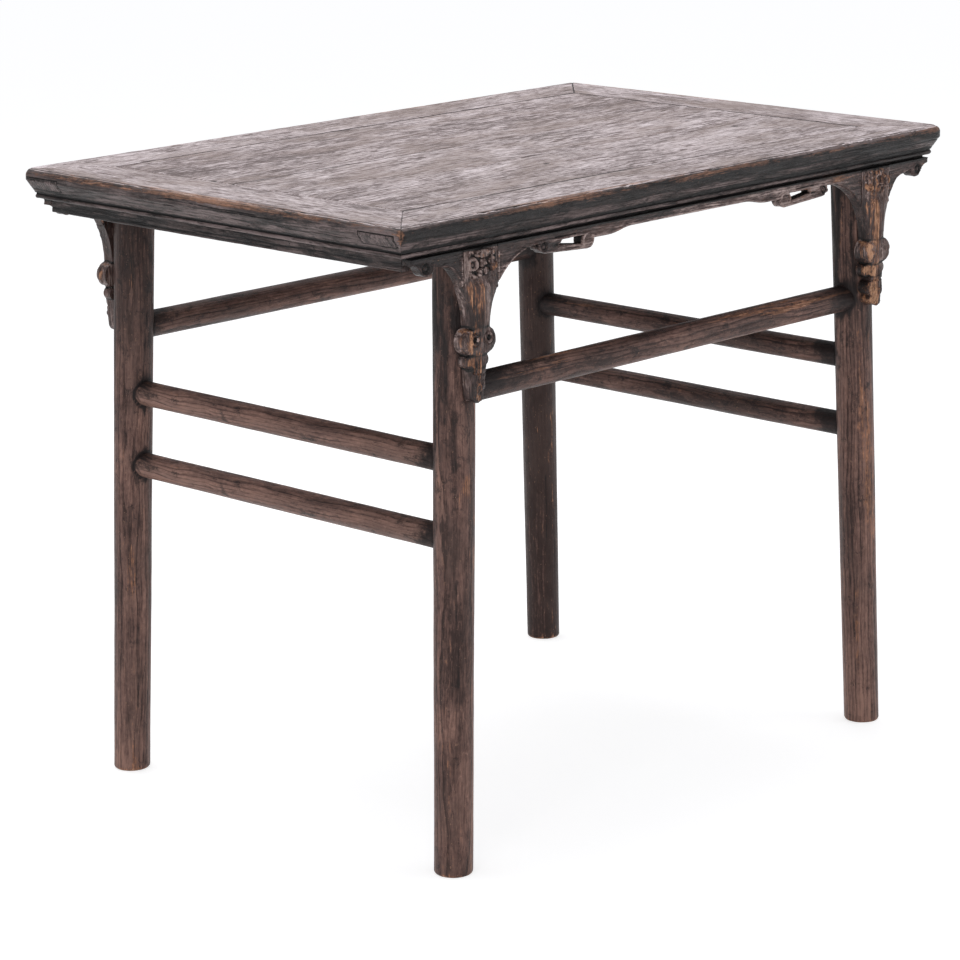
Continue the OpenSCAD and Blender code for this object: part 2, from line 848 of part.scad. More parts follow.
frame_long(-1);  // frame_long_front
frame_long(1);  // frame_long_rear
frame_end(-1);  // frame_end_left
frame_end(1);  // frame_end_right
board(-inner_y, seam_front_y);  // board_front
board(seam_front_y, seam_rear_y);  // board_middle
board(seam_rear_y, inner_y);  // board_rear
batten(-batten_pitch);  // batten_left
batten(0);  // batten_middle
batten(batten_pitch);  // batten_right
apron_long(-1);  // apron_front
apron_long(1);  // apron_rear
apron_end(-1);  // end_apron_left
apron_end(1);  // end_apron_right
bracket(-1, -1);  // bracket_front_left
bracket(1, -1);  // bracket_front_right
bracket(-1, 1);  // bracket_rear_left
bracket(1, 1);  // bracket_rear_right
leg(-1, -1);  // leg_front_left
leg(1, -1);  // leg_front_right
leg(-1, 1);  // leg_rear_left
leg(1, 1);  // leg_rear_right
stretcher_long(-1);  // stretcher_front
stretcher_long(1);  // stretcher_rear
stretcher_end(-1, upper_stretcher_z);  // stretcher_left_upper
stretcher_end(-1, lower_stretcher_z);  // stretcher_left_lower
stretcher_end(1, upper_stretcher_z);  // stretcher_right_upper
stretcher_end(1, lower_stretcher_z);  // stretcher_right_lower
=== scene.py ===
import math

import bmesh
import bpy
import numpy as np
from mathutils import Matrix, Vector


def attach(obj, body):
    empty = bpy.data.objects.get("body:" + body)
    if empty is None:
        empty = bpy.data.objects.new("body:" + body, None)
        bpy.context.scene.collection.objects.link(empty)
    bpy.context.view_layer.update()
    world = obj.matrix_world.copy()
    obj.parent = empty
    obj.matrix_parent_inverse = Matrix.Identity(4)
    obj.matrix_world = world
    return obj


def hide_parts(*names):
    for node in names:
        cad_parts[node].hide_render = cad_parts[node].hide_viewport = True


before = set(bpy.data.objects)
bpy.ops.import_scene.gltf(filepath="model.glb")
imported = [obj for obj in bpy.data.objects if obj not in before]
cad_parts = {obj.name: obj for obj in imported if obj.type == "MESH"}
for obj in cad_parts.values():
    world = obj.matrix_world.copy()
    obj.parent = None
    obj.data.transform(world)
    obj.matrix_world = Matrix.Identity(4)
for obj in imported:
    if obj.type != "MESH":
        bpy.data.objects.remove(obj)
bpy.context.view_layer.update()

# Everything below is built in millimetres in the table's frame and scaled to metres when it becomes a mesh.
MM = 0.001

# The table's own sizes, the same as the solids have
HALF_W, HALF_D, TOP_Z, UNDER_Z = 533.0, 349.0, 838.0, 798.0
INNER_X, INNER_Y, PANEL_Z = 443.0, 263.0, 824.0
LONG_W, END_W, FRAME_T = HALF_D - INNER_Y, HALF_W - INNER_X, TOP_Z - UNDER_Z
ARRIS_R, BELLY_H, BEAD_INSET, BEAD_H, QUIRK_D, QUIRK_H = 8.0, 7.0, 12.0, 6.0, 2.0, 2.0
CORNER_R = {(-1, -1): 9.0, (1, -1): 24.0, (1, 1): 14.0, (-1, 1): 16.0}
TENON_IN, TENON_W, TENON_T, TENON_Z = 12.0, 60.0, 16.0, 13.5
TONGUE_L, TONGUE_T, ROOM = 9.0, 5.0, 0.3
SEAMS = (-INNER_Y, -95.0, 40.0, INNER_Y)
BATTEN_PITCH, BATTEN_W, BATTEN_H = 250.0, 38.0, 24.0
LEG_X, LEG_Y, SPLAY_X, SPLAY_Y = 387.0, 294.0, 29.0, 13.0
LEG_HEAD_R, LEG_FOOT_R = 27.3, 24.8
LONG_Z, LONG_R, END_ZS, END_R = 612.5, 18.2, {"upper": 526.0, "lower": 428.0}, 16.8
APRON_BACK, APRON_T, APRON_H, APRON_TIP, SHADOW_GAP = 321.5, 17.0, 14.0, 505.0, 3.0
APRON_FACE, APRON_TONGUE_T = APRON_BACK + APRON_T, 7.0
END_APRON_T, END_APRON_H = 14.0, 19.0
HEAD_HALF, LAP = 30.0, 8.5
BRACKET_L, WAIST_HALF, TIP_R = 194.0, 14.0, 9.0

# Hairline gaps that show at the joints of the old table
MITRE_GAP, FRAME_GAP, BOARD_GAP = 0.12, 0.8, 0.12


# Noise and small helpers

def lattice(ix, iy, iz, seed):
    """A fixed random value from -1 to 1 for each corner of a grid."""
    h = (ix * 374761393 + iy * 668265263 + iz * 1440662683 + seed * 97531) & 0xFFFFFFFF
    h = ((h ^ (h >> 13)) * 1274126177) & 0xFFFFFFFF
    h = ((h ^ (h >> 16)) * 2246822519) & 0xFFFFFFFF
    return ((h >> 8) & 0xFFFF) / 32767.5 - 1.0


def noise(p, size, seed, octaves=1):
    """Smooth value noise from -1 to 1 at points p, with lumps of the given size in each direction."""
    p = np.asarray(p, float)
    total = np.zeros(p.shape[:-1])
    for k in range(octaves):
        q = p / (np.asarray(size, float) / 2 ** k) + 31.7 * k
        i = np.floor(q).astype(np.int64)
        f = q - i
        f = f * f * (3 - 2 * f)
        for corner in np.ndindex(2, 2, 2):
            weight = 0.5 ** k
            for axis, far in enumerate(corner):
                weight = weight * (f[..., axis] if far else 1 - f[..., axis])
            total += weight * lattice(*(i[..., axis] + far for axis, far in enumerate(corner)), seed + k)
    return total


def field(p, seed):
    """Noise at points p, as a function of its size, a number that sets it apart, and its octaves."""
    return lambda size, number=0, octaves=1: noise(p, size, seed + number, octaves)


def step(x, low, high):
    t = np.clip((x - low) / (high - low), 0, 1)
    return t * t * (3 - 2 * t)


def bump(x, middle, width):
    return np.exp(-(((x - middle) / width) ** 2))


def dome(r, radius):
    return np.sqrt(np.clip(1 - (r / radius) ** 2, 0, 1))


def turn_from(a, b):
    """Angle from b to a, within half a turn each way."""
    return (a - b + math.pi) % (2 * math.pi) - math.pi


def arc(cx, cy, r, a, b, steps):
    t = np.radians(np.linspace(a, b, steps + 1))
    return np.stack([cx + r * np.cos(t), cy + r * np.sin(t)], 1)


def spaced(a, b, pitch):
    return np.linspace(a, b, max(2, int(round(abs(b - a) / pitch)) + 1))


def points(*parts):
    return np.concatenate([np.asarray(p, float).reshape(-1, 2) for p in parts])


def pile(*channels):
    return np.stack(np.broadcast_arrays(*channels), -1)


def normals_2d(profile):
    t = np.roll(profile, -1, 0) - np.roll(profile, 1, 0)
    n = np.stack([t[:, 1], -t[:, 0]], 1)
    return n / np.maximum(np.linalg.norm(n, axis=1, keepdims=True), 1e-9)


# Meshes

def build(name, verts, faces, grain, marks, material, sharp=50):
    """A piece from its points in millimetres. Grain is the place in the wood, with its first axis along the
    fibres; marks are wear, dirt with painted shade, and lightness with painted light and shade at each point."""
    mesh = bpy.data.meshes.new(name)
    mesh.from_pydata((np.asarray(verts) * MM).tolist(), [], faces)
    work = bmesh.new()
    work.from_mesh(mesh)
    bmesh.ops.recalc_face_normals(work, faces=work.faces)
    work.to_mesh(mesh)
    work.free()
    for label, data in (("grain", np.asarray(grain) * MM), ("marks", marks)):
        layer = mesh.attributes.new(label, "FLOAT_VECTOR", "POINT")
        layer.data.foreach_set("vector", np.ascontiguousarray(data, np.float32).ravel())
    mesh.shade_smooth()
    mesh.set_sharp_from_angle(angle=math.radians(sharp))
    mesh.materials.append(material)
    piece = bpy.data.objects.new(name, mesh)
    bpy.context.scene.collection.objects.link(piece)
    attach(piece, "root")
    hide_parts(name)
    return piece


def tube(name, rings, grain, marks, material):
    """A closed tube through rings of shape (count, around, 3), with a fan at each end."""
    n, m, _ = rings.shape
    i, j = np.meshgrid(np.arange(n - 1), np.arange(m), indexing="ij")
    a, b = i * m + j, i * m + (j + 1) % m
    faces = np.stack([a, b, b + m, a + m], -1).reshape(-1, 4).tolist()
    for k in range(m):
        after = (k + 1) % m
        faces.append([n * m, after, k])
        faces.append([n * m + 1, (n - 1) * m + k, (n - 1) * m + after])
    verts, grain, marks = (np.concatenate([v.reshape(-1, 3), v[:1].mean(1), v[-1:].mean(1)])
                           for v in (rings, grain, pile(*marks)))
    return build(name, verts, faces, grain, marks, material)


def second_wood(piece, material, takes):
    """Gives another wood to the polygons for which takes is true."""
    piece.data.materials.append(material)
    for polygon in piece.data.polygons:
        polygon.material_index = int(takes(polygon))


def wood_place(p, order, pith, seed):
    """Place in the wood: axes reordered so that the fibres run along the first, away from the tree's pith."""
    return p[..., list(order)] + np.array([997.0 * seed % 4000, -pith[0], -pith[1]])


def turned_place(run, across, up, degrees, offset):
    """Place in the wood of a turned piece, with its wood turned about its own length."""
    turn = math.radians(degrees)
    return pile(run, across * math.cos(turn) + up * math.sin(turn),
                up * math.cos(turn) - across * math.sin(turn)) + np.array(offset)


# Wood finish

def srgb(rgb):
    return tuple((c / 255 / 12.92) if c <= 10 else ((c / 255 + 0.055) / 1.055) ** 2.4 for c in rgb) + (1.0,)


class Finish:
    """A small writer of node trees, for a material or a world."""

    def __init__(self, owner):
        owner.use_nodes = True
        self.owner, self.tree = owner, owner.node_tree
        self.tree.nodes.clear()

    def put(self, kind, out=0, links=(), **settings):
        node = self.tree.nodes.new(kind)
        for key, value in settings.items():
            setattr(node, key, value)
        for socket, value in dict(links).items():
            self.feed(node.inputs[socket], value)
        return node if out is None else node.outputs[out]

    def feed(self, socket, value):
        if isinstance(value, bpy.types.NodeSocket):
            self.tree.links.new(value, socket)
        else:
            socket.default_value = value

    def math(self, operation, *values, clamp=False):
        return self.put("ShaderNodeMath", 0, dict(enumerate(values)), operation=operation, use_clamp=clamp)

    def vector(self, operation, *values, out=0):
        return self.put("ShaderNodeVectorMath", out, dict(enumerate(values)), operation=operation)

    def noise(self, place, scale, detail=2.0, roughness=0.55, distortion=0.0, color=False):
        return self.put("ShaderNodeTexNoise", 1 if color else 0, {
            "Vector": self.vector("MULTIPLY", place, scale), "Scale": 1.0, "Detail": detail,
            "Roughness": roughness, "Distortion": distortion})

    def fine(self, place, along, across, *rest):
        """Noise with its own scale along the fibres and one across them."""
        return self.noise(place, (along, across, across), *rest)

    def between(self, value, low, high):
        return self.put("ShaderNodeMapRange", 0, {0: value, 1: low, 2: high}, interpolation_type="SMOOTHSTEP")

    def sway(self, base, *terms):
        """Base, moved by how far each signal lies from its middle, times its share."""
        for signal, share in terms:
            base = self.math("MULTIPLY_ADD", self.math("SUBTRACT", signal, 0.5), share, base)
        return base

    def mix(self, share, a, b, blend="MIX"):
        node = self.put("ShaderNodeMix", None, {}, data_type="RGBA", blend_type=blend)
        for index, value in ((0, share), (6, a), (7, b)):
            self.feed(node.inputs[index], value)
        return node.outputs[2]

    def ramp(self, value, places, colors):
        node = self.put("ShaderNodeValToRGB", None, {0: value})
        bar = node.color_ramp
        while len(bar.elements) < len(places):
            bar.elements.new(0.5)
        for element, place, color in zip(bar.elements, places, colors):
            element.position, element.color = place, srgb(color)
        return node.outputs[0]


def wood(name, figure, pore, worn, dirt_and_shade, ring, rings, pores, streaks=1.0, clouds=1.2, fibres=0.9,
         blotches=1.0, specks=0.7, streak_size=(9.0, 130.0), dash=(30.0, 450.0), patch=None, patches=0.5,
         gloss=0.5, relief=1.0, mottle=0.6, crust=0.0, flecks=0.0, specular=0.4):
    """Old ring-porous wood. Figure holds its colours from dark to light, pore is the colour of the open
    grain, worn those of rubbed places from slight to bare, dirt_and_shade that of dirt and painted shade in
    crevices and of the crust of old black lacquer, and patch that of broad stains. Ring is the width of a
    growth ring; the plural names say how strongly each thing shows."""
    f = Finish(bpy.data.materials.new(name))
    grain = f.put("ShaderNodeAttribute", "Vector", attribute_name="grain")
    marks = f.put("ShaderNodeAttribute", "Vector", attribute_name="marks")
    wear, soil_and_shade, bright = f.put("ShaderNodeSeparateXYZ", None, {0: marks}).outputs

    # the growth rings wander slowly along the fibres
    place = grain
    for scales, amount in (((2.6, 13.0), 0.026), ((16.0, 60.0), 0.006)):
        drift = f.noise(grain, scales + scales[1:], 2.0, 0.5, color=True)
        drift = f.vector("SUBTRACT", drift, (0.5, 0.5, 0.5))
        place = f.vector("ADD", place, f.vector("MULTIPLY", drift, (0.0, amount, amount)))
    across = f.vector("LENGTH", f.vector("MULTIPLY", place, (0.0, 1.0, 1.0)), out=1)
    turns = f.math("DIVIDE", across, ring * MM)
    phase = f.math("FRACT", turns)
    early = f.math("SUBTRACT", 1.0, f.between(phase, 0.05, 0.5))
    early = f.math("MULTIPLY", early, f.between(phase, 0.0, 0.05))
    each = f.put("ShaderNodeTexWhiteNoise", 0, {"W": f.math("FLOOR", turns)}, noise_dimensions="1D")

    fibre = f.fine(place, 30.0, 620.0, 3.0, 0.6)
    streak = f.fine(place, *streak_size, 4.0, 0.65)
    broad = f.fine(place, 2.4, 26.0, 3.0, 0.55)
    blotch = f.fine(grain, 8.0, 15.0, 5.0, 0.66, 0.5)
    speck = f.fine(grain, 130.0, 260.0, 4.0, 0.7)
    mould = f.fine(grain, 26.0, 48.0, 6.0, 0.72, 0.4)
    vessels = f.between(f.fine(place, 60.0, 1100.0, 1.0, 0.5), 0.54, 0.66)
    dashes = f.between(f.fine(place, *dash, 2.5, 0.6), 0.55, 0.66)

    tone = f.sway(0.5, (streak, 1.7 * streaks), (broad, clouds), (fibre, fibres), (blotch, 1.5 * blotches),
                  (speck, specks), (mould, 0.9 * mottle), (each, 0.22 * rings))
    tone = f.math("ADD", f.math("MULTIPLY_ADD", early, -0.2 * rings, tone), bright)
    color = f.ramp(tone, (0.14, 0.5, 0.86), figure)

    if patch is not None:
        stain = f.between(f.sway(f.fine(grain, 5.0, 11.0, 3.0, 0.6, 0.8), (mould, 0.5)), 0.40, 0.70)
        color = f.mix(f.math("MULTIPLY", stain, patches), color, srgb(patch))

    open_grain = f.math("MAXIMUM", f.math("MULTIPLY", vessels, f.math("MULTIPLY_ADD", early, 0.7, 0.2)),
                        f.math("MULTIPLY", dashes, f.math("MULTIPLY_ADD", early, 0.35, 0.65)))
    color = f.mix(f.math("MULTIPLY", open_grain, pores), color, srgb(pore))

    lacquer = 0.0
    if crust:
        flakes = f.fine(grain, 40.0, 64.0, 8.0, 0.76, 0.35)
        lacquer = f.math("MULTIPLY", f.between(f.math("MULTIPLY_ADD", soil_and_shade, 0.2, flakes), 0.57, 0.67), crust)
        color = f.mix(lacquer, color, srgb(dirt_and_shade))

    # bare wood where the wear, made ragged by the grain, is deep enough
    ragged = f.sway(wear, (streak, 0.8), (fibre, 1.1), (mould, 0.7), (speck, 0.8))
    bare = f.ramp(f.sway(ragged, (fibre, 0.9)), (0.34, 0.66, 1.0), worn)
    shade = f.sway(0.95, (blotch, 1.7), (speck, 1.3), (fibre, 0.9), (streak, 0.8))
    bare = f.mix(1.0, bare, shade, blend="MULTIPLY")
    color = f.mix(f.math("MULTIPLY", f.between(ragged, 0.34, 0.62), 0.92), color, bare)
    if flecks:
        chip = f.between(f.fine(grain, 230.0, 420.0, 2.0, 0.6), 0.67, 0.72)
        color = f.mix(f.math("MULTIPLY", chip, flecks), color, srgb(worn[2]))

    # dirt and painted shade from the marks darken the colour towards the dirt_and_shade colour
    grime_and_shade = f.between(f.sway(soil_and_shade, (mould, 1.5), (speck, 0.6)), 0.30, 0.85)
    color = f.mix(f.math("MULTIPLY", grime_and_shade, 0.93), color, srgb(dirt_and_shade))

    height = f.math("MULTIPLY_ADD", open_grain, -1.0, f.math("MULTIPLY", fibre, 0.5))
    for signal, share in ((early, -0.35), (speck, 0.6), (streak, 0.8), (mould, 1.2 * mottle), (lacquer, 0.5)):
        height = f.math("MULTIPLY_ADD", signal, share, height)
    normal = f.put("ShaderNodeBump", 0, {"Strength": 0.6 * relief, "Distance": 0.0007, "Height": height})

    rough = f.sway(f.math("MULTIPLY_ADD", open_grain, 0.2, gloss), (blotch, 0.4))
    rough = f.math("MULTIPLY_ADD", grime_and_shade, 0.12, rough, clamp=True)
    shader = f.put("ShaderNodeBsdfPrincipled", 0, {
        "Base Color": color, "Roughness": rough, "Normal": normal, "Specular IOR Level": specular})
    f.put("ShaderNodeOutputMaterial", None, {0: shader})
    return f.owner


TOP_WOOD = wood(
    "worn_top", figure=((84, 66, 63), (175, 160, 160), (216, 204, 206)), pore=(78, 60, 57),
    worn=((116, 88, 76), (138, 100, 80), (176, 150, 138)), dirt_and_shade=(26, 20, 19), patch=(132, 113, 105), ring=5.5,
    rings=0.3, pores=0.9, streaks=1.2, clouds=0.6, fibres=1.9, blotches=0.75, specks=1.2,
    streak_size=(26.0, 270.0), dash=(40.0, 300.0), patches=0.65, relief=1.2, mottle=1.1)
EDGE_WOOD = wood(
    "dark_edge", figure=((16, 11, 11), (70, 58, 56), (122, 106, 104)), pore=(12, 8, 8),
    worn=((60, 41, 35), (88, 60, 47), (132, 95, 74)), dirt_and_shade=(7, 5, 5), patch=(44, 31, 28), ring=3.6, rings=0.6,
    pores=0.7, streak_size=(14.0, 170.0), dash=(22.0, 330.0), gloss=0.4, relief=1.5, mottle=1.0, crust=0.8,
    flecks=0.3, specular=0.3)
LEG_WOOD = wood(
    "leg_wood", figure=((46, 29, 25), (104, 77, 69), (146, 112, 99)), pore=(48, 33, 30),
    worn=((106, 74, 60), (132, 90, 66), (166, 128, 106)), dirt_and_shade=(25, 18, 18), patch=(82, 64, 58), ring=4.6,
    rings=1.2, pores=0.3, streaks=0.45, clouds=0.55, fibres=0.8, blotches=0.8, dash=(16.0, 420.0),
    patches=0.45, gloss=0.46, mottle=0.45, crust=0.7, flecks=0.4, specular=0.24)
CARVED_WOOD = wood(
    "carved_wood", figure=((34, 24, 23), (80, 62, 59), (184, 163, 157)), pore=(24, 17, 16),
    worn=((84, 56, 44), (120, 78, 53), (178, 132, 100)), dirt_and_shade=(9, 7, 7), patch=(78, 52, 42), ring=4.0,
    rings=0.5, pores=0.45, streaks=0.8, clouds=0.8, blotches=0.9, streak_size=(14.0, 220.0),
    dash=(26.0, 480.0), gloss=0.38, relief=1.4, mottle=1.1, crust=0.6, flecks=0.35, specular=0.35)
UNDER_WOOD = wood(
    "under_wood", figure=((58, 46, 40), (94, 80, 72), (130, 114, 102)), pore=(44, 34, 30),
    worn=((110, 88, 74), (134, 104, 84), (168, 140, 120)), dirt_and_shade=(26, 21, 20), ring=4.0, rings=0.6, pores=0.6,
    streaks=0.8, blotches=0.8, dash=(24.0, 380.0), gloss=0.72)


# Top frame

def edge_profile(width):
    """Section of a frame member as [distance in from the edge, height above the underside]."""
    bead_r = BEAD_H / 2
    belly_z = FRAME_T - ARRIS_R - BELLY_H
    quirk_z, quirk_u = BEAD_H + QUIRK_H, BEAD_INSET + QUIRK_D
    room_top, room_low = PANEL_Z - UNDER_Z + TONGUE_T + ROOM, PANEL_Z - UNDER_Z - ROOM
    room_u = width - TONGUE_L - ROOM
    top = np.concatenate([width - np.array([0, 0.5, 1.2, 2.5]), spaced(width - 6, ARRIS_R + 2, 4.5)])
    return points(
        pile(top, FRAME_T),
        arc(ARRIS_R, FRAME_T - ARRIS_R, ARRIS_R, 90, 180, 12),
        [[0, z] for z in spaced(FRAME_T - ARRIS_R - 1.2, belly_z, 1.2)],
        [[BEAD_INSET * t, belly_z + (quirk_z - belly_z) * t] for t in np.linspace(0.06, 1, 16)],
        [[BEAD_INSET + QUIRK_D * 0.6, quirk_z + 0.1], [quirk_u, quirk_z - 0.4]],
        [[quirk_u, BEAD_H + 0.3], [quirk_u - 0.2, BEAD_H - 0.1]],
        arc(BEAD_INSET + bead_r, bead_r, bead_r, 100, 270, 10),
        [[u, 0] for u in spaced(BEAD_INSET + bead_r + 4, width - 1, 6)],
        [[width, 1], [width, room_low / 2], [width, room_low], [room_u, room_low], [room_u, room_top]],
        [[width, room_top], [width, FRAME_T - 2], [width, FRAME_T - 0.6]])


def clustered(low, high, pitch, extra):
    """Stations from low to high, closer together round the given places."""
    more = [e + o for e in extra for o in (-1.6, -0.8, -0.35, 0.0, 0.35, 0.8, 1.6)]
    every = np.concatenate([spaced(low, high, pitch), [m for m in more if low < m < high]])
    every = np.unique(np.round(every, 3))
    keep = [every[0]]
    for value in every[1:]:
        if value - keep[-1] > 0.2:
            keep.append(value)
    keep[-1] = high
    return np.array(keep)


def round_corner(x, y):
    """Moves points of the square corners in, onto the worn round of each."""
    for (sx, sy), r in CORNER_R.items():
        cx, cy = HALF_W - r, HALF_D - r
        dx, dy = sx * x - cx, sy * y - cy
        inside = (dx > 0) & (dy > 0)
        k = np.where(inside, np.maximum(dx, dy) / np.maximum(np.hypot(dx, dy), 1e-6), 1.0)
        x = np.where(inside, sx * (cx + dx * k), x)
        y = np.where(inside, sy * (cy + dy * k), y)
    return x, y


def cracks(run, level, low, high, seed, count, levels, width=0.75):
    """Long shrinkage cracks that wander along a member, as a depth from 0 to 1."""
    rng = np.random.default_rng(seed)
    deep = np.zeros_like(run)
    for _ in range(count):
        start, length = rng.uniform(low, high), rng.uniform(60, 300)
        end = start + length
        at = rng.uniform(*levels)
        wander = at + 1.3 * noise(pile(run, 0, 0), (55, 1, 1), int(rng.integers(1, 9999)), 2)
        reach = step(run, start, start + 25) * step(run, end, end - 25)
        deep = np.maximum(deep, bump(level, wander, width) * reach)
    return deep


def frame_member(name, along, side, seed, seam_dark, mitre_dark, worn_zone, belly_dark):
    """A member of the top frame. Along is 0 for the long ones, in X, and 1 for the ends, in Y. Seam_dark is
    how open the joint with the panel looks along the member, mitre_dark how open its two mitres look,
    worn_zone the middle and half length of its most rubbed part, and belly_dark how much darker its belly
    and outer faces are made."""
    half_l, half_c = (HALF_W, HALF_D) if along == 0 else (HALF_D, HALF_W)
    width, other_w = (LONG_W, END_W) if along == 0 else (END_W, LONG_W)
    profile = edge_profile(width)
    normal = normals_2d(profile)
    ends = [s * (HALF_D - TENON_IN - w) for s in (-1, 1) for w in (0.0, TENON_W)] if along == 1 else []
    t = clustered(-half_l, half_l, 2.9, ends) / half_l
    u, z = (np.broadcast_to(v, (len(t), len(profile))) for v in profile.T)
    run = t[:, None] * (half_l - u * other_w / width)
    grit = field(pile(run, u, z), seed)

    seam, corner = width - u, half_l - np.abs(run)
    mitre = np.abs(corner - u * other_w / width)
    arris = bump(z, FRAME_T - 2.5, 4.2) * step(u, 16, 4)
    on_top = (z > FRAME_T - 0.05) & (u > 3)
    outside = (u < BEAD_INSET + QUIRK_D) & (z > BEAD_H)
    quirk = (z > BEAD_H - 0.5) & (z < BEAD_H + QUIRK_H + 0.2) & (u < BEAD_INSET + QUIRK_D + 0.5)
    split = cracks(run, z, -half_l, half_l * 0.8, seed + 61, 7, (10.0, 30.0)) * outside

    # how far the hand-planed and worn surface lies inside the true one
    waves = 0.35 + 0.45 * grit((90, 30, 30)) + 0.25 * grit((22, 12, 12), 3)
    chips = step(grit((11, 6, 6), 5), 0.3, 0.75)
    depth = np.clip(waves, 0.05, 1.4) + arris * (0.6 + 1.1 * chips + 0.6 * grit((45, 20, 20), 7))
    depth = depth + outside * 0.22 * np.clip(grit((9, 4, 4), 8), 0, 1)
    level = 0.25 + 0.25 * grit((70, 35, 30), 9) + 0.15 * grit((16, 9, 9), 11)
    depth = np.where(on_top, np.clip(level, 0.02, 1) + 0.7 * bump(seam, 0, 1.0), depth)
    depth = depth + 0.6 * bump(mitre, 0, 1.2) * (z > FRAME_T - 3)
    depth = np.where(quirk, depth * 0.3, depth) + 0.8 * split
    depth = np.where((u > width - 0.6) & (z < FRAME_T - 0.2), 0.0, depth)

    uneven = noise(pile(run, 0, 0), (90, 1, 1), seed + 21)
    open_seam = np.interp(run, *seam_dark) * np.clip(0.8 + 0.5 * uneven, 0, 1)
    # Painted shade in the quirk and just above it; the cracks, open seams and mitres are darkened as gaps.
    dirt_and_shade = 1.0 * quirk + 0.5 * bump(z, BEAD_H + QUIRK_H + 1.0, 2.0) * (u < BEAD_INSET + 1) + 0.9 * split
    dirt_and_shade = dirt_and_shade + on_top * step(seam, 3.0, 0.9) * open_seam * 1.3 + (0.06 + 0.45 * belly_dark) * outside
    dirt_and_shade = dirt_and_shade + step(mitre, 2.4, 0.6) * (z > FRAME_T - 14) * np.where(run < 0, *mitre_dark) * 1.2
    zone = bump(run, *worn_zone)
    wear = arris * np.clip(0.32 + 0.45 * grit((120, 40, 40), 13) + 0.4 * zone, 0, 1.1)
    wear = wear + (0.30 + 0.2 * grit((60, 20, 20), 19)) * bump(z, FRAME_T - 6, 4.5) * (u < 12) * ~on_top
    wear = wear + on_top * step(u, 20, 5) * (0.12 + 0.5 * zone)
    wear = wear + 0.8 * step(corner, 9, 1) * step(z, 8, 20) * (u < 16)
    wear = wear + 0.3 * bump(z, 5.5, 1.4) * (u < 16) * step(grit((60, 9, 9), 15), 0.0, 0.7)
    belly = step(z, 17, 24) * step(z, 37.5, 34) * (u < 12)
    light = 0.10 * grit((140, 14, 14), 17) - belly_dark * belly + 0.10 * (1 - belly) + 0.12 * arris
    light = np.where(on_top, 0.05 * grit((200, 60, 60), 18), light)

    # ends of the through tenons, seen in the end members
    end_grain = np.zeros_like(u)
    for end in (-1, 1) if along == 1 else ():
        inward = half_l - end * run
        in_y = np.minimum(inward - TENON_IN, TENON_IN + TENON_W - inward)
        inside = np.minimum(in_y, np.minimum(z - TENON_Z, TENON_Z + TENON_T - z))
        face = (u < 13) & (z > 9)
        depth = depth + face * (0.8 * bump(inside, 0, 0.7) - 0.3 * step(inside, 0, 0.8) * (depth > 0.4))
        dirt_and_shade = dirt_and_shade + face * 0.95 * bump(inside, 0, 0.7)
        end_grain = np.maximum(end_grain, face * step(inside, 0.1, 0.6))

    u = np.maximum(u - normal[:, 0] * depth, 0.02)
    z = np.clip(z - normal[:, 1] * depth, 0.0, FRAME_T)
    u = np.minimum(u, width) - np.where(u > width - 0.7, 0.12, 0.0)
    run = t[:, None] * (half_l - u * other_w / width - MITRE_GAP)
    x, y = round_corner(*((run, side * (half_c - u)) if along == 0 else (side * (half_c - u), run)))
    rings = pile(x, y, UNDER_Z + z)
    grain = wood_place(rings, (0, 1, 2) if along == 0 else (1, 0, 2), (40.0 + 23 * seed % 90, 700.0), seed)
    grain = np.where(end_grain[..., None] > 0.5, rings + np.array([333.0, 30.0, -770.0]), grain)
    marks = (np.clip(wear, 0, 1.3), np.clip(dirt_and_shade, 0, 1.3), light)
    label = f"frame_{'long' if along == 0 else 'end'}_{name}"
    piece = tube(label, rings, grain, marks, EDGE_WOOD)
    second_wood(piece, TOP_WOOD, lambda face: face.normal.z > 0.9 and face.center.z > (TOP_Z - 2.2) * MM)


REAR_SEAM = ((-443, -120, -60, 443), (0.5, 0.5, 0.9, 1.0))
frame_member("front", 0, -1, 3, seam_dark=((-443, -100, 60, 250, 443), (1, 1.1, 1.0, 0.5, 0.3)),
             mitre_dark=(0.55, 0.35), worn_zone=(-225, 190), belly_dark=0.46)
frame_member("rear", 0, 1, 14, seam_dark=REAR_SEAM, mitre_dark=(0.35, 1.0),
             worn_zone=(200, 150), belly_dark=0.2)
frame_member("left", 1, -1, 25, seam_dark=((-263, 263), (0.3, 0.45)), mitre_dark=(0.55, 0.4),
             worn_zone=(0, 150), belly_dark=-0.1)
frame_member("right", 1, 1, 36, seam_dark=((-263, 263), (0.9, 1.0)), mitre_dark=(0.4, 1.0),
             worn_zone=(100, 200), belly_dark=0.15)


# Panel

# Dents and knots as [x, y, half length, half width]
KNOTS = ((342, -130, 9, 3.5), (-68, -152, 6, 4), (120, 96, 7, 4))


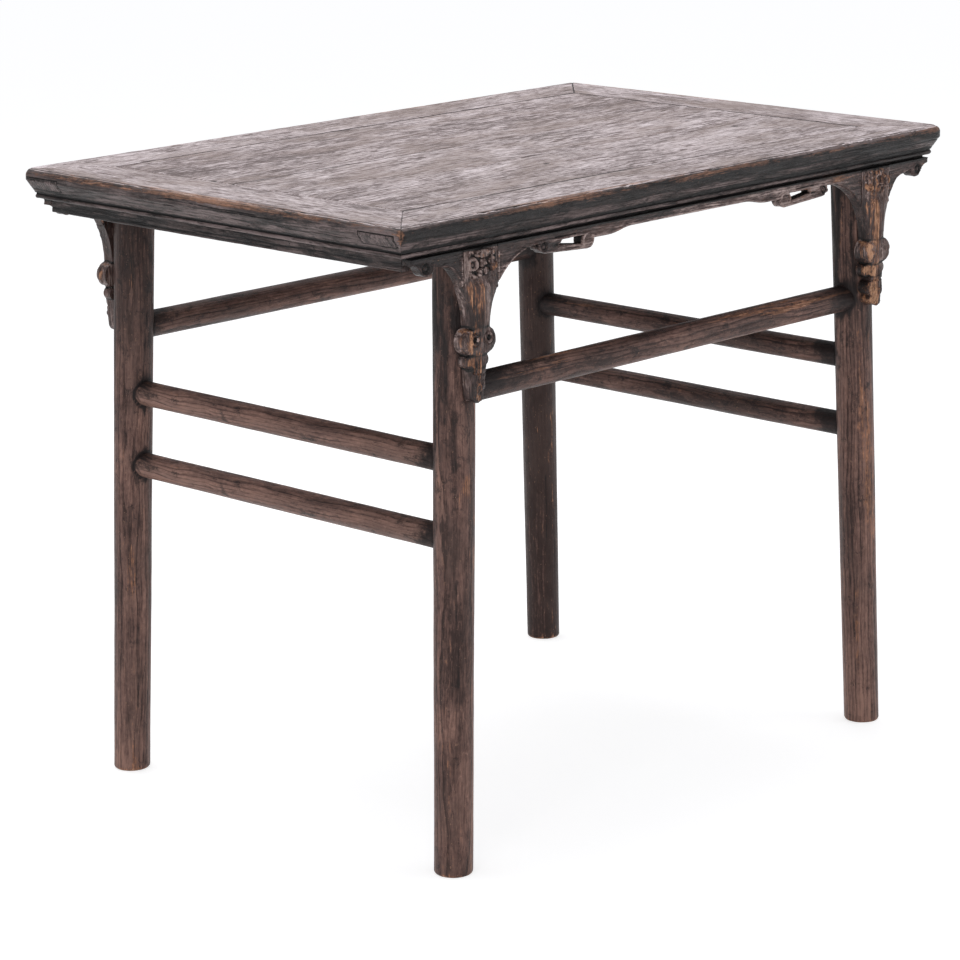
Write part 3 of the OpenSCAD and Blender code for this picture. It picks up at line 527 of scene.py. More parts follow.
def board(name, low, high, seed, dark_low, dark_high, tone):
    """A board of the panel, from low to high in Y. Dark_low and dark_high tell how open its two long joints
    look."""
    first, last = low <= -INNER_Y, high >= INNER_Y
    y0, y1 = low + (FRAME_GAP if first else BOARD_GAP), high - (FRAME_GAP if last else BOARD_GAP)
    half_x, thick = INNER_X - FRAME_GAP, TOP_Z - PANEL_Z
    lip0, lip1 = (TONGUE_L - 0.3 if outer else 0.0 for outer in (first, last))

    def edged(a, b, pitch):
        edge = np.array([0.0, 0.4, 1.0, 2.2])
        return np.concatenate([a + edge, spaced(a + 5, b - 5, pitch), b - edge[::-1]])

    profile = points(
        pile(edged(y0, y1, 4.0), thick),
        [[y1, thick - 0.8], [y1, TONGUE_T], [y1 + lip1, TONGUE_T - 0.01], [y1 + lip1, 0.01]],
        [[y, 0.0] for y in spaced(y1 - 0.5, y0 + 0.5, 14)],
        [[y0 - lip0, 0.01], [y0 - lip0, TONGUE_T - 0.01], [y0, TONGUE_T], [y0, thick - 0.8]])
    x, y, z = np.broadcast_arrays(edged(-half_x, half_x, 4.2)[:, None], *profile.T)
    place = pile(x, y, z)
    grit = field(place, seed)
    upper = z > thick - 0.1
    rim = np.minimum(np.minimum(y - y0, y1 - y), half_x - np.abs(x))
    dents = step(grit((26, 9, 9), 4), 0.62, 0.95)
    for knot_x, knot_y, length, width in KNOTS:
        dents = np.maximum(dents, 1.6 * bump(np.hypot((x - knot_x) / length, (y - knot_y) / width), 0, 1))
    sink = 0.22 + 0.22 * grit((80, 45, 40)) + 0.12 * grit((15, 7, 7), 2)
    sink = sink + 0.6 * bump(rim, 0, 1.2) + 0.5 * dents
    z = np.where(upper, thick - np.clip(sink, 0.02, 1.6), z)

    patchy = np.clip(0.8 + 0.5 * grit((90, 900, 900), 6), 0, 1)
    dirt_and_shade = np.where(upper, 0.0, 0.25) + 0.75 * dents * upper
    for gap, openness in ((y - y0, np.interp(x, *dark_low)), (y1 - y, np.interp(x, *dark_high)),
                          (x + half_x, 0.3), (half_x - x, 1.0)):
        dirt_and_shade = dirt_and_shade + upper * step(gap, 2.8, 0.9) * openness * patchy * 1.3
    wear = np.where(upper, 0.15 * bump(rim, 4, 3.0), 0)
    band = y + 8 * noise(place, (160, 900, 900), 77)
    light = 0.05 * grit((300, 120, 120), 8) - 0.12 * bump(band, 155, 40) - 0.14 * step(x, -150, -440) + tone
    rings = pile(x, y, PANEL_Z + z)
    grain = wood_place(rings, (0, 1, 2), (120.0 - 70 * seed % 200, 690.0 + 30 * seed % 60), seed)
    piece = tube(f"board_{name}", rings, grain, (wear, dirt_and_shade, light), TOP_WOOD)
    second_wood(piece, UNDER_WOOD, lambda face: face.normal.z < -0.5)


CLOSED = ((0,), (0.0,))
MIDDLE_SEAM = ((-430, -60, 40, 443), (0.6, 0.5, 0.15, 0.1))
board("front", *SEAMS[0:2], 51, dark_low=((-443, 60, 250, 443), (1, 0.9, 0.4, 0.2)), dark_high=CLOSED,
      tone=0.0)
board("middle", *SEAMS[1:3], 62, dark_low=CLOSED, dark_high=MIDDLE_SEAM, tone=0.03)
board("rear", *SEAMS[2:4], 73, dark_low=MIDDLE_SEAM, dark_high=REAR_SEAM, tone=-0.02)


# Battens and end aprons

def rounded_bar(name, half, height, reach, at_x, at_z, pitch, seed, material, pith):
    """A bar along Y with a rounded rectangular section, as far as reach each way, standing on at_z."""
    r = 1.8
    ring = points(
        arc(half - r, height - r, r, 0, 90, 3), [[s, height] for s in spaced(half - r - 3, -half + r + 3, 3)],
        arc(-half + r, height - r, r, 90, 180, 3), [[-half, z] for z in spaced(height - r - 1, r + 1, 1.2)],
        arc(-half + r, r, r, 180, 270, 3), [[s, 0] for s in spaced(-half + r + 3, half - r - 3, 4)],
        arc(half - r, r, r, 270, 360, 3), [[half, z] for z in spaced(r + 1, height - r - 1, 1.2)])
    run, s, z = np.broadcast_arrays(spaced(-reach, reach, pitch)[:, None], *ring.T)
    grit, normal = field(pile(run, s, z), seed), normals_2d(ring)
    split = cracks(run, z, -reach, reach * 0.8, seed + 40, 8, (3, height - 3), 0.9) * (np.abs(s) > half - 0.5)
    depth = np.clip(0.3 + 0.3 * grit((60, 20, 20)) + 0.15 * grit((14, 6, 6), 1), 0.02, 1) + 0.6 * split
    rings = pile(at_x + np.clip(s - normal[:, 0] * depth, -half, half), run,
                 at_z + np.clip(z - normal[:, 1] * depth, 0, height))
    outer = np.maximum(half - np.abs(s), np.minimum(z, height - z))
    wear = 0.6 * step(outer, 2.0, 0.2) * np.clip(0.6 + 0.6 * grit((50, 20, 20), 2), 0, 1)
    # Painted shade along the top, where the bar meets the part above it; darker in the cracks.
    dirt_and_shade = 0.7 * step(z, height - 3, height) + 0.9 * split + 0.15
    marks = (wear, dirt_and_shade, 0.06 * grit((90, 30, 30), 3))
    tube(name, rings, wood_place(rings, (1, 0, 2), pith, seed), marks, material)


for name, side, seed in (("left", -1, 81), ("middle", 0, 83), ("right", 1, 85)):
    rounded_bar(f"batten_{name}", BATTEN_W / 2, BATTEN_H, INNER_Y, side * BATTEN_PITCH, PANEL_Z - BATTEN_H,
                5.0, seed, UNDER_WOOD, (60.0, 650.0))
for name, side, seed in (("left", -1, 87), ("right", 1, 89)):
    rounded_bar(f"end_apron_{name}", END_APRON_T / 2, END_APRON_H, APRON_BACK - 0.3,
                side * (APRON_TIP - END_APRON_T / 2), UNDER_Z - END_APRON_H,
                4.0, seed, EDGE_WOOD, (500.0, 760.0))


# Legs and stretchers

WORN_FOOT_R = 4.0


def leg_axis(z, sx, sy):
    share = (UNDER_Z - z) / UNDER_Z
    return sx * (LEG_X + SPLAY_X * share), sy * (LEG_Y + SPLAY_Y * share)


def leg_radius(z):
    return LEG_FOOT_R + (LEG_HEAD_R - LEG_FOOT_R) * z / UNDER_Z


def leg(name, sx, sy, seed, darkened, tone, rubbed=()):
    """A leg. Darkened is how dark its upper part is made, partly for its black crust and partly as painted
    shade under the top; rubbed its bare spots as height, angle, half height, half width and strength.
    Angles times a leg's radius are distances round it."""
    zs = np.concatenate([[0.0, 0.35, 0.9, 1.7, 2.7, 4.0, 6.0], spaced(9, UNDER_Z, 3.6)])
    zz, aa = np.meshgrid(zs, np.radians(np.arange(64) * 360 / 64), indexing="ij")
    cx, cy = leg_axis(zz, sx, sy)
    low = np.clip(WORN_FOOT_R - zz, 0, WORN_FOOT_R)
    r = leg_radius(zz) - (WORN_FOOT_R - np.sqrt(np.maximum(WORN_FOOT_R ** 2 - low * low, 0))) * 0.9
    grit = field(pile(zz, 100 * np.cos(aa), 100 * np.sin(aa)), seed)
    hollow = 0.25 + 0.28 * grit((120, 60, 60)) + 0.14 * grit((26, 22, 22), 1)
    facet = 0.22 * np.abs(np.sin(aa * 4 + 2.2 * grit((300, 400, 400), 2)))
    checks = np.zeros_like(zz)
    rng = np.random.default_rng(seed)
    for _ in range(7):
        angle, start, length = rng.uniform(0, 2 * math.pi), rng.uniform(20, 620), rng.uniform(60, 260)
        end = start + length
        wander = angle + 0.12 * noise(pile(zz, zz, zz), (70, 1e6, 1e6), int(rng.integers(1, 999)))
        span = step(zz, start, start + 12) * step(zz, end, end - 12)
        checks = np.maximum(checks, bump(turn_from(aa, wander) * 26, 0, 1.0) * span)
    r = r - np.clip(hollow + facet, 0.02, 1.2) - 0.5 * checks
    x, y = cx + r * np.cos(aa), cy + r * np.sin(aa)
    # a flat for the bracket
    y = np.where((zz > UNDER_Z - BRACKET_L) & (sy * y > APRON_BACK - 0.1), sy * (APRON_BACK - 0.1), y)

    chips = step(grit((9, 9, 9), 4), 0.2, 0.7)
    wear = 0.75 * step(zz, 5, 1.5) * (0.5 + 0.5 * chips) + 0.3 * step(grit((140, 26, 26), 5), 0.35, 0.85)
    wear = wear + 0.14 * step(zz, 640, 300)
    for spot_z, spot_a, spot_h, spot_w, strength in rubbed:
        off = turn_from(aa, math.radians(spot_a)) * 25
        wear = wear + strength * bump(zz, spot_z, spot_h) * bump(off, 0, spot_w)
    # The upper part darkened, partly for its black crust and partly as painted shade under the top.
    darken_patches = np.clip(1 + 1.3 * grit((70, 34, 34), 7, 2), 0.2, 2)
    dirt_and_shade = 0.75 * checks + darkened * (0.22 * step(zz, 380, 540) + 0.3 * step(zz, 540, 700)) * darken_patches + 0.02
    # A dark joint line round each stretcher's end, with painted shade round it.
    joints = [(LONG_Z, LONG_R, math.pi if sx > 0 else 0.0)]
    joints += [(z, END_R, -sy * math.pi / 2) for z in END_ZS.values()]
    for z, radius, angle in joints:
        near = np.hypot(turn_from(aa, angle) * 25.5, zz - z) - radius
        dirt_and_shade = dirt_and_shade + 0.95 * bump(near, 0.3, 1.6) + 0.45 * step(near, 20, 0) * (near > 0)
    # Painted light: the lower part lighter, as light thrown up from the floor, and the upper part darker, as
    # shade under the top; with random tone.
    light = 0.10 * grit((260, 90, 90), 6) + 0.15 * step(zz, 340, 60) - 0.04 - 0.16 * step(zz, 500, 700) + tone
    grain = turned_place(zz, x - cx, y - cy, 40 + 73 * seed, (911.0 * seed % 3000, 58.0, 22.0))
    tube(f"leg_{name}", pile(x, y, zz), grain, (wear, np.clip(dirt_and_shade, 0, 1.2), light), LEG_WOOD)


def reach_to_leg(along, lateral, z, reach):
    """How far a line along X or Y goes, at a place across and a height, before it meets the leg's round.
    Reach is a first guess."""
    axis = leg_axis(z, 1, 1)
    for _ in range(12):
        gap = np.hypot(reach - axis[along], np.abs(lateral) - axis[1 - along]) - leg_radius(z) - 0.15
        reach = reach + gap * 0.7
    return reach


def stretcher(name, along, at, z0, radius, seed, darkened, bare, tone, flecks=()):
    """A round stretcher along X or Y, with its ends coped round the legs. At is its fixed place across,
    darkened how dark it is made along its run, bare how rubbed it is above, and flecks its pale spots as
    place, angle and size."""
    a = np.radians(np.arange(40) * 360 / 40)
    half = leg_axis(z0, 1, 1)[along] - LEG_FOOT_R
    reach = reach_to_leg(along, at + radius * np.cos(a), z0 + radius * np.sin(a), half - 4.0)
    end = np.array([0.992, 0.996, 0.9985, 1])
    ts = np.concatenate([-end[::-1], np.linspace(-0.985, 0.985, int(half * 2 / 3.8)), end])
    tt, aa = np.meshgrid(ts, a, indexing="ij")
    run = tt * reach
    grit = field(pile(run, 60 * np.cos(aa), 60 * np.sin(aa)), seed)
    hollow = np.clip(0.22 + 0.30 * grit((110, 60, 60)) + 0.14 * grit((22, 22, 22), 1), 0.02, 1)
    hollow = hollow + 0.2 * np.abs(np.sin(aa * 3 + 2 * grit((300, 500, 500), 2)))
    r = radius - hollow * step(half - np.abs(run), -30, 30)
    across, up = r * np.cos(aa), r * np.sin(aa)
    rings = pile(*((run, at + across) if along == 0 else (at + across, run)), z0 + up)

    edge = (1 - np.abs(tt)) * half
    # A dark joint line at each end, and painted shade towards the legs.
    dirt_and_shade = 1.0 * bump(edge, 0, 1.6) + 0.4 * step(edge, 60, 0) + 0.1
    dirt_and_shade = dirt_and_shade + np.interp(run, *darkened) * (0.7 + 0.3 * np.sin(aa))
    wear = bare * step(grit((110, 22, 22), 4), -0.05, 0.65) * step(np.sin(aa), -0.1, 0.5)
    light = 0.12 * grit((200, 60, 60), 5) + tone
    for spot_x, spot_a, size in flecks:
        fleck = bump(np.hypot(run - spot_x, turn_from(aa, math.radians(spot_a)) * radius), 0, size)
        light, dirt_and_shade, wear = light + 1.6 * fleck, dirt_and_shade * (1 - step(fleck, 0.1, 0.4)), wear + 1.2 * fleck
    grain = turned_place(run, across, up, 20 + 61 * seed, (733.0 * seed % 3000, 44.0, 15.0))
    marks = (wear, np.clip(dirt_and_shade, 0, 1.2), light)
    tube(f"stretcher_{name}", rings, grain, marks, LEG_WOOD)


leg("front_left", -1, -1, 101, darkened=1.15, tone=-0.02,
    rubbed=((405, -62, 22, 6, 0.75), (455, -60, 12, 4, 0.7), (500, -100, 20, 9, 0.6)))
leg("front_right", 1, -1, 112, darkened=1.0, tone=0.06,
    rubbed=((350, -95, 80, 12, 0.42), (470, -110, 60, 12, 0.35)))
leg("rear_left", -1, 1, 123, darkened=0.45, tone=0.0)
leg("rear_right", 1, 1, 134, darkened=0.6, tone=-0.6)
LONG_Y = leg_axis(LONG_Z, 1, 1)[1]
stretcher("front", 0, -LONG_Y, LONG_Z, LONG_R, 145, bare=0.8, tone=-0.02,
          darkened=((-390, -280, -180, 60, 300, 390), (0.75, 0.6, 0.2, 0.15, 0.3, 0.4)),
          flecks=((-318, 75, 3.0), (-309, 62, 2.4), (-300, 80, 1.8)))
stretcher("rear", 0, LONG_Y, LONG_Z, LONG_R, 151, bare=0.25, tone=0.0,
          darkened=((-390, -150, 100, 390), (0.3, 0.05, 0.1, 0.5)))
for name, side, darkened, tone in (("left", -1, (0.25, 0.0, 0.15), 0.26), ("right", 1, (0.4, 0.2, 0.3), 0.0)):
    for level, z in END_ZS.items():
        stretcher(f"{name}_{level}", 1, side * leg_axis(z, 1, 1)[0], z, END_R, 157 + side * 4 + int(z) % 7,
                  bare=0.35, tone=tone, darkened=((-300, 0, 300), darkened))


# Outlines of the carved pieces from the front, with x from the table's middle and z from its underside

INNER_HOLLOW = (103.5, -103.0, 89.0)
OUTER_HOLLOW_X, OUTER_HOLLOW_R, TURN_R, TURN_A, OUTER_EDGE = 129.0, 110.0, 25.0, 140.3, -19.0
TURN_OFFSET = ((OUTER_HOLLOW_R - TURN_R) * math.cos(math.radians(TURN_A)),
               (OUTER_HOLLOW_R - TURN_R) * math.sin(math.radians(TURN_A)))
OUTER_TURN = (OUTER_HOLLOW_X + TURN_OFFSET[0], OUTER_EDGE - TURN_R, TURN_R)
OUTER_HOLLOW = (OUTER_HOLLOW_X, OUTER_TURN[1] - TURN_OFFSET[1], OUTER_HOLLOW_R)
VOLUTE = (91.0, -15.0, 11.5)
TAIL = (APRON_TIP - LEG_X, -29.5, 19.0)
SCROLL_X, SCROLL_L, SCROLL_DROP, SCROLL_RISE, NOSE_R, BAND = 183.0, 102.0, 32.0, 4.5, 11.0, 7.0
HEAD_R, TAIL_R, OPENING_L = 9.5, 5.0, 41.0
CUSP_DROP, CUSP_L, CUSP_RUN = 20.0, 45.0, 28.0
NOSE = (SCROLL_X + NOSE_R, NOSE_R - SCROLL_DROP)
SCROLL_HEAD = (SCROLL_X + SCROLL_L - 14, SCROLL_RISE + HEAD_R - SCROLL_DROP)
SCROLL_TIP = (SCROLL_X + SCROLL_L - TAIL_R, 1 - APRON_H - TAIL_R)
OPENING_END = (SCROLL_X + 2 * NOSE_R + OPENING_L, -APRON_H - 5.5)
CURL_Z, CURL_R, CURL_SPAN = -117.0, 17.0, 55.0
LOW_CURL_R, LOW_CURL_Z, LOW_CURL_SPAN, LOW_CURL_BACK = 9.0, -142.0, 22.0, 4.0
BOSS_Z, BOSS_W, BOSS_H = -21.0, 29.0, 20.0
CELL = 1.2


def upper_angle(circle, x):
    return math.degrees(math.acos((x - circle[0]) / circle[2]))


def polygon_distance(px, pz, outline):
    """Distance from each point to a closed outline, negative inside."""
    best = np.full(px.shape, 1e9)
    inside = np.zeros(px.shape, bool)
    for (ax, az), (bx, bz) in zip(outline, np.roll(outline, -1, 0)):
        ex, ez = bx - ax, bz - az
        wx, wz = px - ax, pz - az
        t = np.clip((wx * ex + wz * ez) / max(ex * ex + ez * ez, 1e-12), 0, 1)
        best = np.minimum(best, (wx - ex * t) ** 2 + (wz - ez * t) ** 2)
        inside ^= ((az <= pz) != (bz <= pz)) & (px < ax + wz / (ez + 1e-30) * ex)
    return np.where(inside, -1, 1) * np.sqrt(best)


def with_discs(d, x, z, discs):
    """Distance d to a shape, after discs of [x, z, radius] are joined to it."""
    for cx, cz, r in discs:
        d = np.minimum(d, np.hypot(x - cx, z - cz) - r)
    return d


def lean_at(z):
    """How far a bracket's axis has moved out at height z, with the leg's splay."""
    return -z * SPLAY_X / UNDER_Z


def apron_outline():
    side = HEAD_HALF + 0.15
    inner = arc(*INNER_HOLLOW, upper_angle(INNER_HOLLOW, side), 90, 16) * [-1, 1]
    t = np.linspace(0, 1, 12)
    cusp = pile(SCROLL_X - CUSP_RUN - CUSP_L * (1 - t),
                -APRON_H - (CUSP_DROP - APRON_H) * (1 - np.cos(math.pi * t)) / 2)
    flank = points(
        inner[::-1], [[-side, -APRON_H], [side, -APRON_H]],
        arc(*OUTER_HOLLOW, upper_angle(OUTER_HOLLOW, side), TURN_A, 6), arc(*OUTER_TURN, TURN_A, 90, 8),
        arc(*VOLUTE, 180, 325, 14), arc(*TAIL, 155, 90, 8))
    return points([[-5, -SHADOW_GAP], [-5, -APRON_H]], cusp, [[SCROLL_X - 2, -CUSP_DROP]],
                  [[NOSE[0], -APRON_H]], flank + [LEG_X, 0], [[APRON_TIP, -SHADOW_GAP]])


def scroll_outline():
    low, high = -SCROLL_DROP, 1 - APRON_H
    return points([[NOSE[0], low], [SCROLL_HEAD[0], low + SCROLL_RISE]],
                  [[SCROLL_TIP[0], SCROLL_TIP[1] - TAIL_R], [SCROLL_TIP[0], high]],
                  [[OPENING_END[0] - 5, high], OPENING_END],
                  [[SCROLL_X + 2 * NOSE_R, low + BAND], [NOSE[0], low + BAND]])


def bracket_outline():
    waist = -BRACKET_L + 50
    tip = arc(0, -BRACKET_L + TIP_R, TIP_R, 0, -180, 14)
    lower = points([[WAIST_HALF, waist]], tip, [[-WAIST_HALF, waist]])
    lower[:, 0] += lean_at(lower[:, 1])
    return points([[-HEAD_HALF, -SHADOW_GAP], [HEAD_HALF, -SHADOW_GAP]],
                  arc(*OUTER_HOLLOW, upper_angle(OUTER_HOLLOW, HEAD_HALF), 180, 16), lower,
                  arc(*INNER_HOLLOW, 180, upper_angle(INNER_HOLLOW, HEAD_HALF), 16) * [-1, 1])


# Carving

def flesh_round(d, r):
    """Drop of a face at depth d inside its outline, for an edge rounded to r."""
    e = np.clip(r - d, 0, r)
    return r - np.sqrt(np.maximum(r * r - e * e, 0))


def hand_cut(grit):
    return 0.35 * grit((18, 14, 14)) + 0.22 * grit((5, 5, 5), 1)


def with_cuts(places, cuts, room):
    """Places of a grid's lines, with the given ones put in and those that come too near them taken out."""
    return np.array(sorted([x for x in places if min(abs(x - c) for c in cuts) > room] + cuts))


def relief(name, xs, zs, distance, front, back, marks_of, order, mirror_x, side_y, seed, light=0.0,
           wear_gain=1.0):
    """A carved slab: a grid over its outline, its border drawn onto the outline, with carved faces and worn
    walls."""
    gx, gz = np.meshgrid(xs, zs, indexing="ij")
    d = distance(gx, gz)
    keep = d[:-1, :-1] + d[1:, :-1] + d[:-1, 1:] + d[1:, 1:] < 0
    index = np.arange(gx.size).reshape(gx.shape)
    quads = np.stack([index[:-1, :-1], index[1:, :-1], index[1:, 1:], index[:-1, 1:]], -1)[keep]
    used = np.unique(quads)
    number = np.full(gx.size, -1)
    number[used] = np.arange(len(used))
    quads, count = number[quads], len(used)
    px, pz = gx.ravel()[used], gz.ravel()[used]

    # the edges that only one square has make the border
    pairs = quads[:, [0, 1, 1, 2, 2, 3, 3, 0]].reshape(-1, 2)
    edges = pairs[~np.isin(pairs @ [1, count], pairs @ [count, 1])]
    rim = np.unique(edges)

    def gradient(x, z, e=0.05):
        return ((distance(x + e, z) - distance(x - e, z)) / (2 * e),
                (distance(x, z + e) - distance(x, z - e)) / (2 * e))

    for _ in range(3):
        here, (nx, nz) = distance(px[rim], pz[rim]), gradient(px[rim], pz[rim])
        size = np.maximum(np.hypot(nx, nz), 0.3)
        px[rim] -= here * nx / size
        pz[rim] -= here * nz / size
    depth = np.maximum(-distance(px, pz), 0)
    depth[rim] = 0
    yf, yb = front(px, pz, depth), back(px, pz, depth)
    nx, nz = gradient(px[rim], pz[rim])
    layers, walls = 5, []
    for t in np.arange(1, layers) / layers:
        p = pile(px[rim], yf[rim] * (1 - t) + yb[rim] * t, pz[rim])
        cut = np.clip(0.25 + 0.4 * noise(p, (11, 7, 11), seed + 30), 0, 0.8) * math.sin(math.pi * t)
        walls.append(p - pile(nx * cut, 0, nz * cut))
    verts = np.concatenate([pile(px, yf, pz), pile(px, yb, pz)] + walls)

    inner = 2 * count + np.arange((layers - 1) * len(rim)).reshape(layers - 1, -1)
    rows = np.concatenate([[rim], inner, [rim + count]])
    a, b = np.searchsorted(rim, edges.T)
    sides = np.stack([rows[:-1, b], rows[:-1, a], rows[1:, a], rows[1:, b]], -1)
    sides = sides.transpose(1, 0, 2).reshape(-1, 4)
    faces = np.concatenate([quads, quads[:, ::-1] + count, sides]).tolist()
    depths = np.concatenate([depth, depth, np.zeros(inner.size)])
    marks = marks_of(verts[:, 0], verts[:, 2], verts[:, 1], depths, count) * [wear_gain, 1, 1] + [0, 0, light]
    verts = verts * [mirror_x, side_y, 1] + [0, 0, UNDER_Z]
    grain = wood_place(verts, order, (300.0, -250.0), seed)
    build(name, verts, faces, grain, marks, CARVED_WOOD, sharp=60)


# Volutes of an apron: [x, z, radius of the ring, radius of the button]
EYES = ((LEG_X + 94.0, -16.0, 8.2, 3.4), (SCROLL_HEAD[0] + 4, -18.5, 7.0, 3.6))
# Cuts from the flank into the head, from the opening into the tail, and along the leaf above it:
# [from x, from z, to x, to z, depth, half width]
APRON_CUTS = ((SCROLL_HEAD[0] + 12, -16.5, SCROLL_HEAD[0] + 34, -16, 2.4, 1.5),
              (OPENING_END[0] - 1, -19.3, OPENING_END[0] + 10, -20, 2.0, 1.2),
              (OPENING_END[0] - 30, -10.5, OPENING_END[0] + 8, -10, 1.2, 1.4))
SCROLL_DISCS = ((*NOSE, NOSE_R), (*SCROLL_HEAD, HEAD_R), (*SCROLL_TIP, TAIL_R))


def line(x, z, ax, az, bx, bz):
    """Distance to a straight cut from a to b."""
    t = np.clip(((x - ax) * (bx - ax) + (z - az) * (bz - az)) / ((bx - ax) ** 2 + (bz - az) ** 2), 0, 1)
    return np.hypot(x - ax - t * (bx - ax), z - az - t * (bz - az))


def ringed_eye(x, z, cx, cz, ring_r, button_r):
    """Height of a carved volute: a raised ring round a sunk floor, with a button at its middle."""
    r = np.hypot(x - cx, z - cz)
    return 1.3 * bump(r, ring_r, 1.3) - 2.2 * step(r, ring_r - 0.6, ring_r - 2.4) + 3.0 * dome(r, button_r)


def make_apron(name, side_y, seed):
    outline, scroll = apron_outline(), scroll_outline()

    def distance(x, z):
        ax = np.abs(x)
        d = np.minimum(polygon_distance(ax, z, outline), polygon_distance(ax, z, scroll))
        tongue = np.maximum(ax - APRON_TIP, np.abs(z + SHADOW_GAP / 2 + 0.5) - SHADOW_GAP / 2 - 0.4)
        return np.minimum(with_discs(d, ax, z, SCROLL_DISCS), tongue)

    def height(x, z, depth):
        ax = np.abs(x)
        eyes = sum(step(np.hypot(ax - cx, z - cz), ring + 4, ring + 1) for cx, cz, ring, _ in EYES)
        bead = 1.2 * bump(depth, 1.7, 1.0) - 0.7 * bump(depth, 4.4, 1.4)
        bead = bead * (z < -8) * (1 - np.clip(eyes, 0, 1))
        h = -0.6 + hand_cut(field(pile(x, 0, z), seed)) + (0.25 + 0.75 * step(x, 330, 250)) * bead
        h = h + sum(ringed_eye(ax, z, *eye) for eye in EYES)
        h = h + dome(np.hypot(ax - NOSE[0], z - NOSE[1]), NOSE_R)
        for *ends, deep, wide in APRON_CUTS:
            h = h - deep * bump(line(ax, z, *ends), 0, wide)
        return h + 0.8 * bump(np.hypot((ax - OPENING_END[0] + 10) / 16, (z + 14) / 3.4), 0, 1)

    def front(x, z, depth):
        y = APRON_FACE + np.clip(height(x, z, depth), -3.2, 1.5)
        y = y - flesh_round(depth, 1.8) * (z < -SHADOW_GAP - 0.6)
        in_lap = np.abs(np.abs(x) - LEG_X) < HEAD_HALF + 0.1
        y = np.where(in_lap, APRON_FACE - LAP - 0.2, y)
        return np.where(z > -SHADOW_GAP + 0.1, APRON_BACK + APRON_TONGUE_T, y)

    def back(x, z, depth):
        return APRON_BACK + 0.2 + flesh_round(depth, 1.2) * (z < -SHADOW_GAP - 0.6)

    def marks_of(x, z, y, depth, count):
        grit, ax, h = field(pile(x, y, z), seed), np.abs(x), height(x, z, depth)
        wall = (np.arange(len(x)) >= 2 * count) * 1.0
        wear = 0.3 * bump(depth, 1.5, 1.3) * np.clip(0.6 + 0.8 * grit((40, 20, 20), 6), 0, 1)
        wear = wear + 0.3 * step(h, 0.3, 1.3) + 0.12 * (x > 150)
        wear = wear + 0.6 * bump(x, 308, 24) * step(z, -15, -10) * (1 - wall)
        # Painted shade: darker in the low cuts, along the top under the frame, on the walls of the opening
        # and by the right leg; the line at each bracket's head is a dark joint.
        dirt_and_shade = 0.95 * step(-h, 1.3, 2.4) * (1 - wall) + 0.8 * step(z, -6.5, -3.5) + 0.12
        dirt_and_shade = dirt_and_shade + 0.4 * bump(np.abs(ax - LEG_X), HEAD_HALF, 0.5) * (1 - wall)
        dirt_and_shade = dirt_and_shade + 0.85 * wall * (ax > SCROLL_X + 15) * (ax < OPENING_END[0] + 2) * (z > -25)
        dirt_and_shade = dirt_and_shade + 0.3 * bump(x, 392, 36) * step(z, -8, -16)
        # Painted shade on the flanks near the legs, most by the right one, and a painted highlight along the
        # flanks' bead; also darker beyond the legs and lighter towards the right.
        light = 0.12 * grit((70, 30, 30), 7) + 0.04 * step(x, 100, 330) - 0.06 - 0.22 * step(ax, 415, 425)
        light = light - 0.12 * bump(ax, 350, 34) - 0.3 * bump(x, 388, 40)
        light = light + 0.45 * bump(depth, 1.6, 1.0) * (1 - wall) * (z < -8) * step(x, 330, 250)
        return pile(wear, np.clip(dirt_and_shade, 0, 1.2), light)

    cuts = [s * (LEG_X + t * (HEAD_HALF + o)) for s in (-1, 1) for t in (-1, 1) for o in (0.0, 0.2)]
    xs = with_cuts(spaced(-APRON_TIP - 1, APRON_TIP + 1, CELL), cuts, 0.5)
    zs = np.concatenate([spaced(-58, -APRON_H - 0.4, CELL), spaced(-APRON_H, -SHADOW_GAP, CELL),
                         [0.25 - SHADOW_GAP, -1.5, -0.1]])
    relief(name, xs, zs, distance, front, back, marks_of, (0, 2, 1), 1, side_y, seed)


# Lumps of the boss on a bracket's head: [place across, place down, radius, height]
BOSS_LUMPS = ((0, -9, 6.0, 5.5), (-10, -11, 5.5, 5.0), (9, -10, 5.0, 5.0), (-17, -10, 4.0, 3.5),
              (1, -22, 5.5, 4.6), (-14, -21, 5.5, 5.0), (-6, -31, 5.0, 4.5), (5, -33, 5.5, 5.0),
              (14, -36, 4.5, 4.0), (22, -34, 4.0, 4.4), (-21, -29, 6.5, 5.6))
BOSS_RING = (17.0, -22.0, 7.0)
# Broken knobs on the rubbed side of a bracket's tip: [place across, place down, radius]
SWELLINGS = ((14.0, -143.0, 10.0), (10.0, -168.0, 10.5), (7.0, -183.0, 8.0))


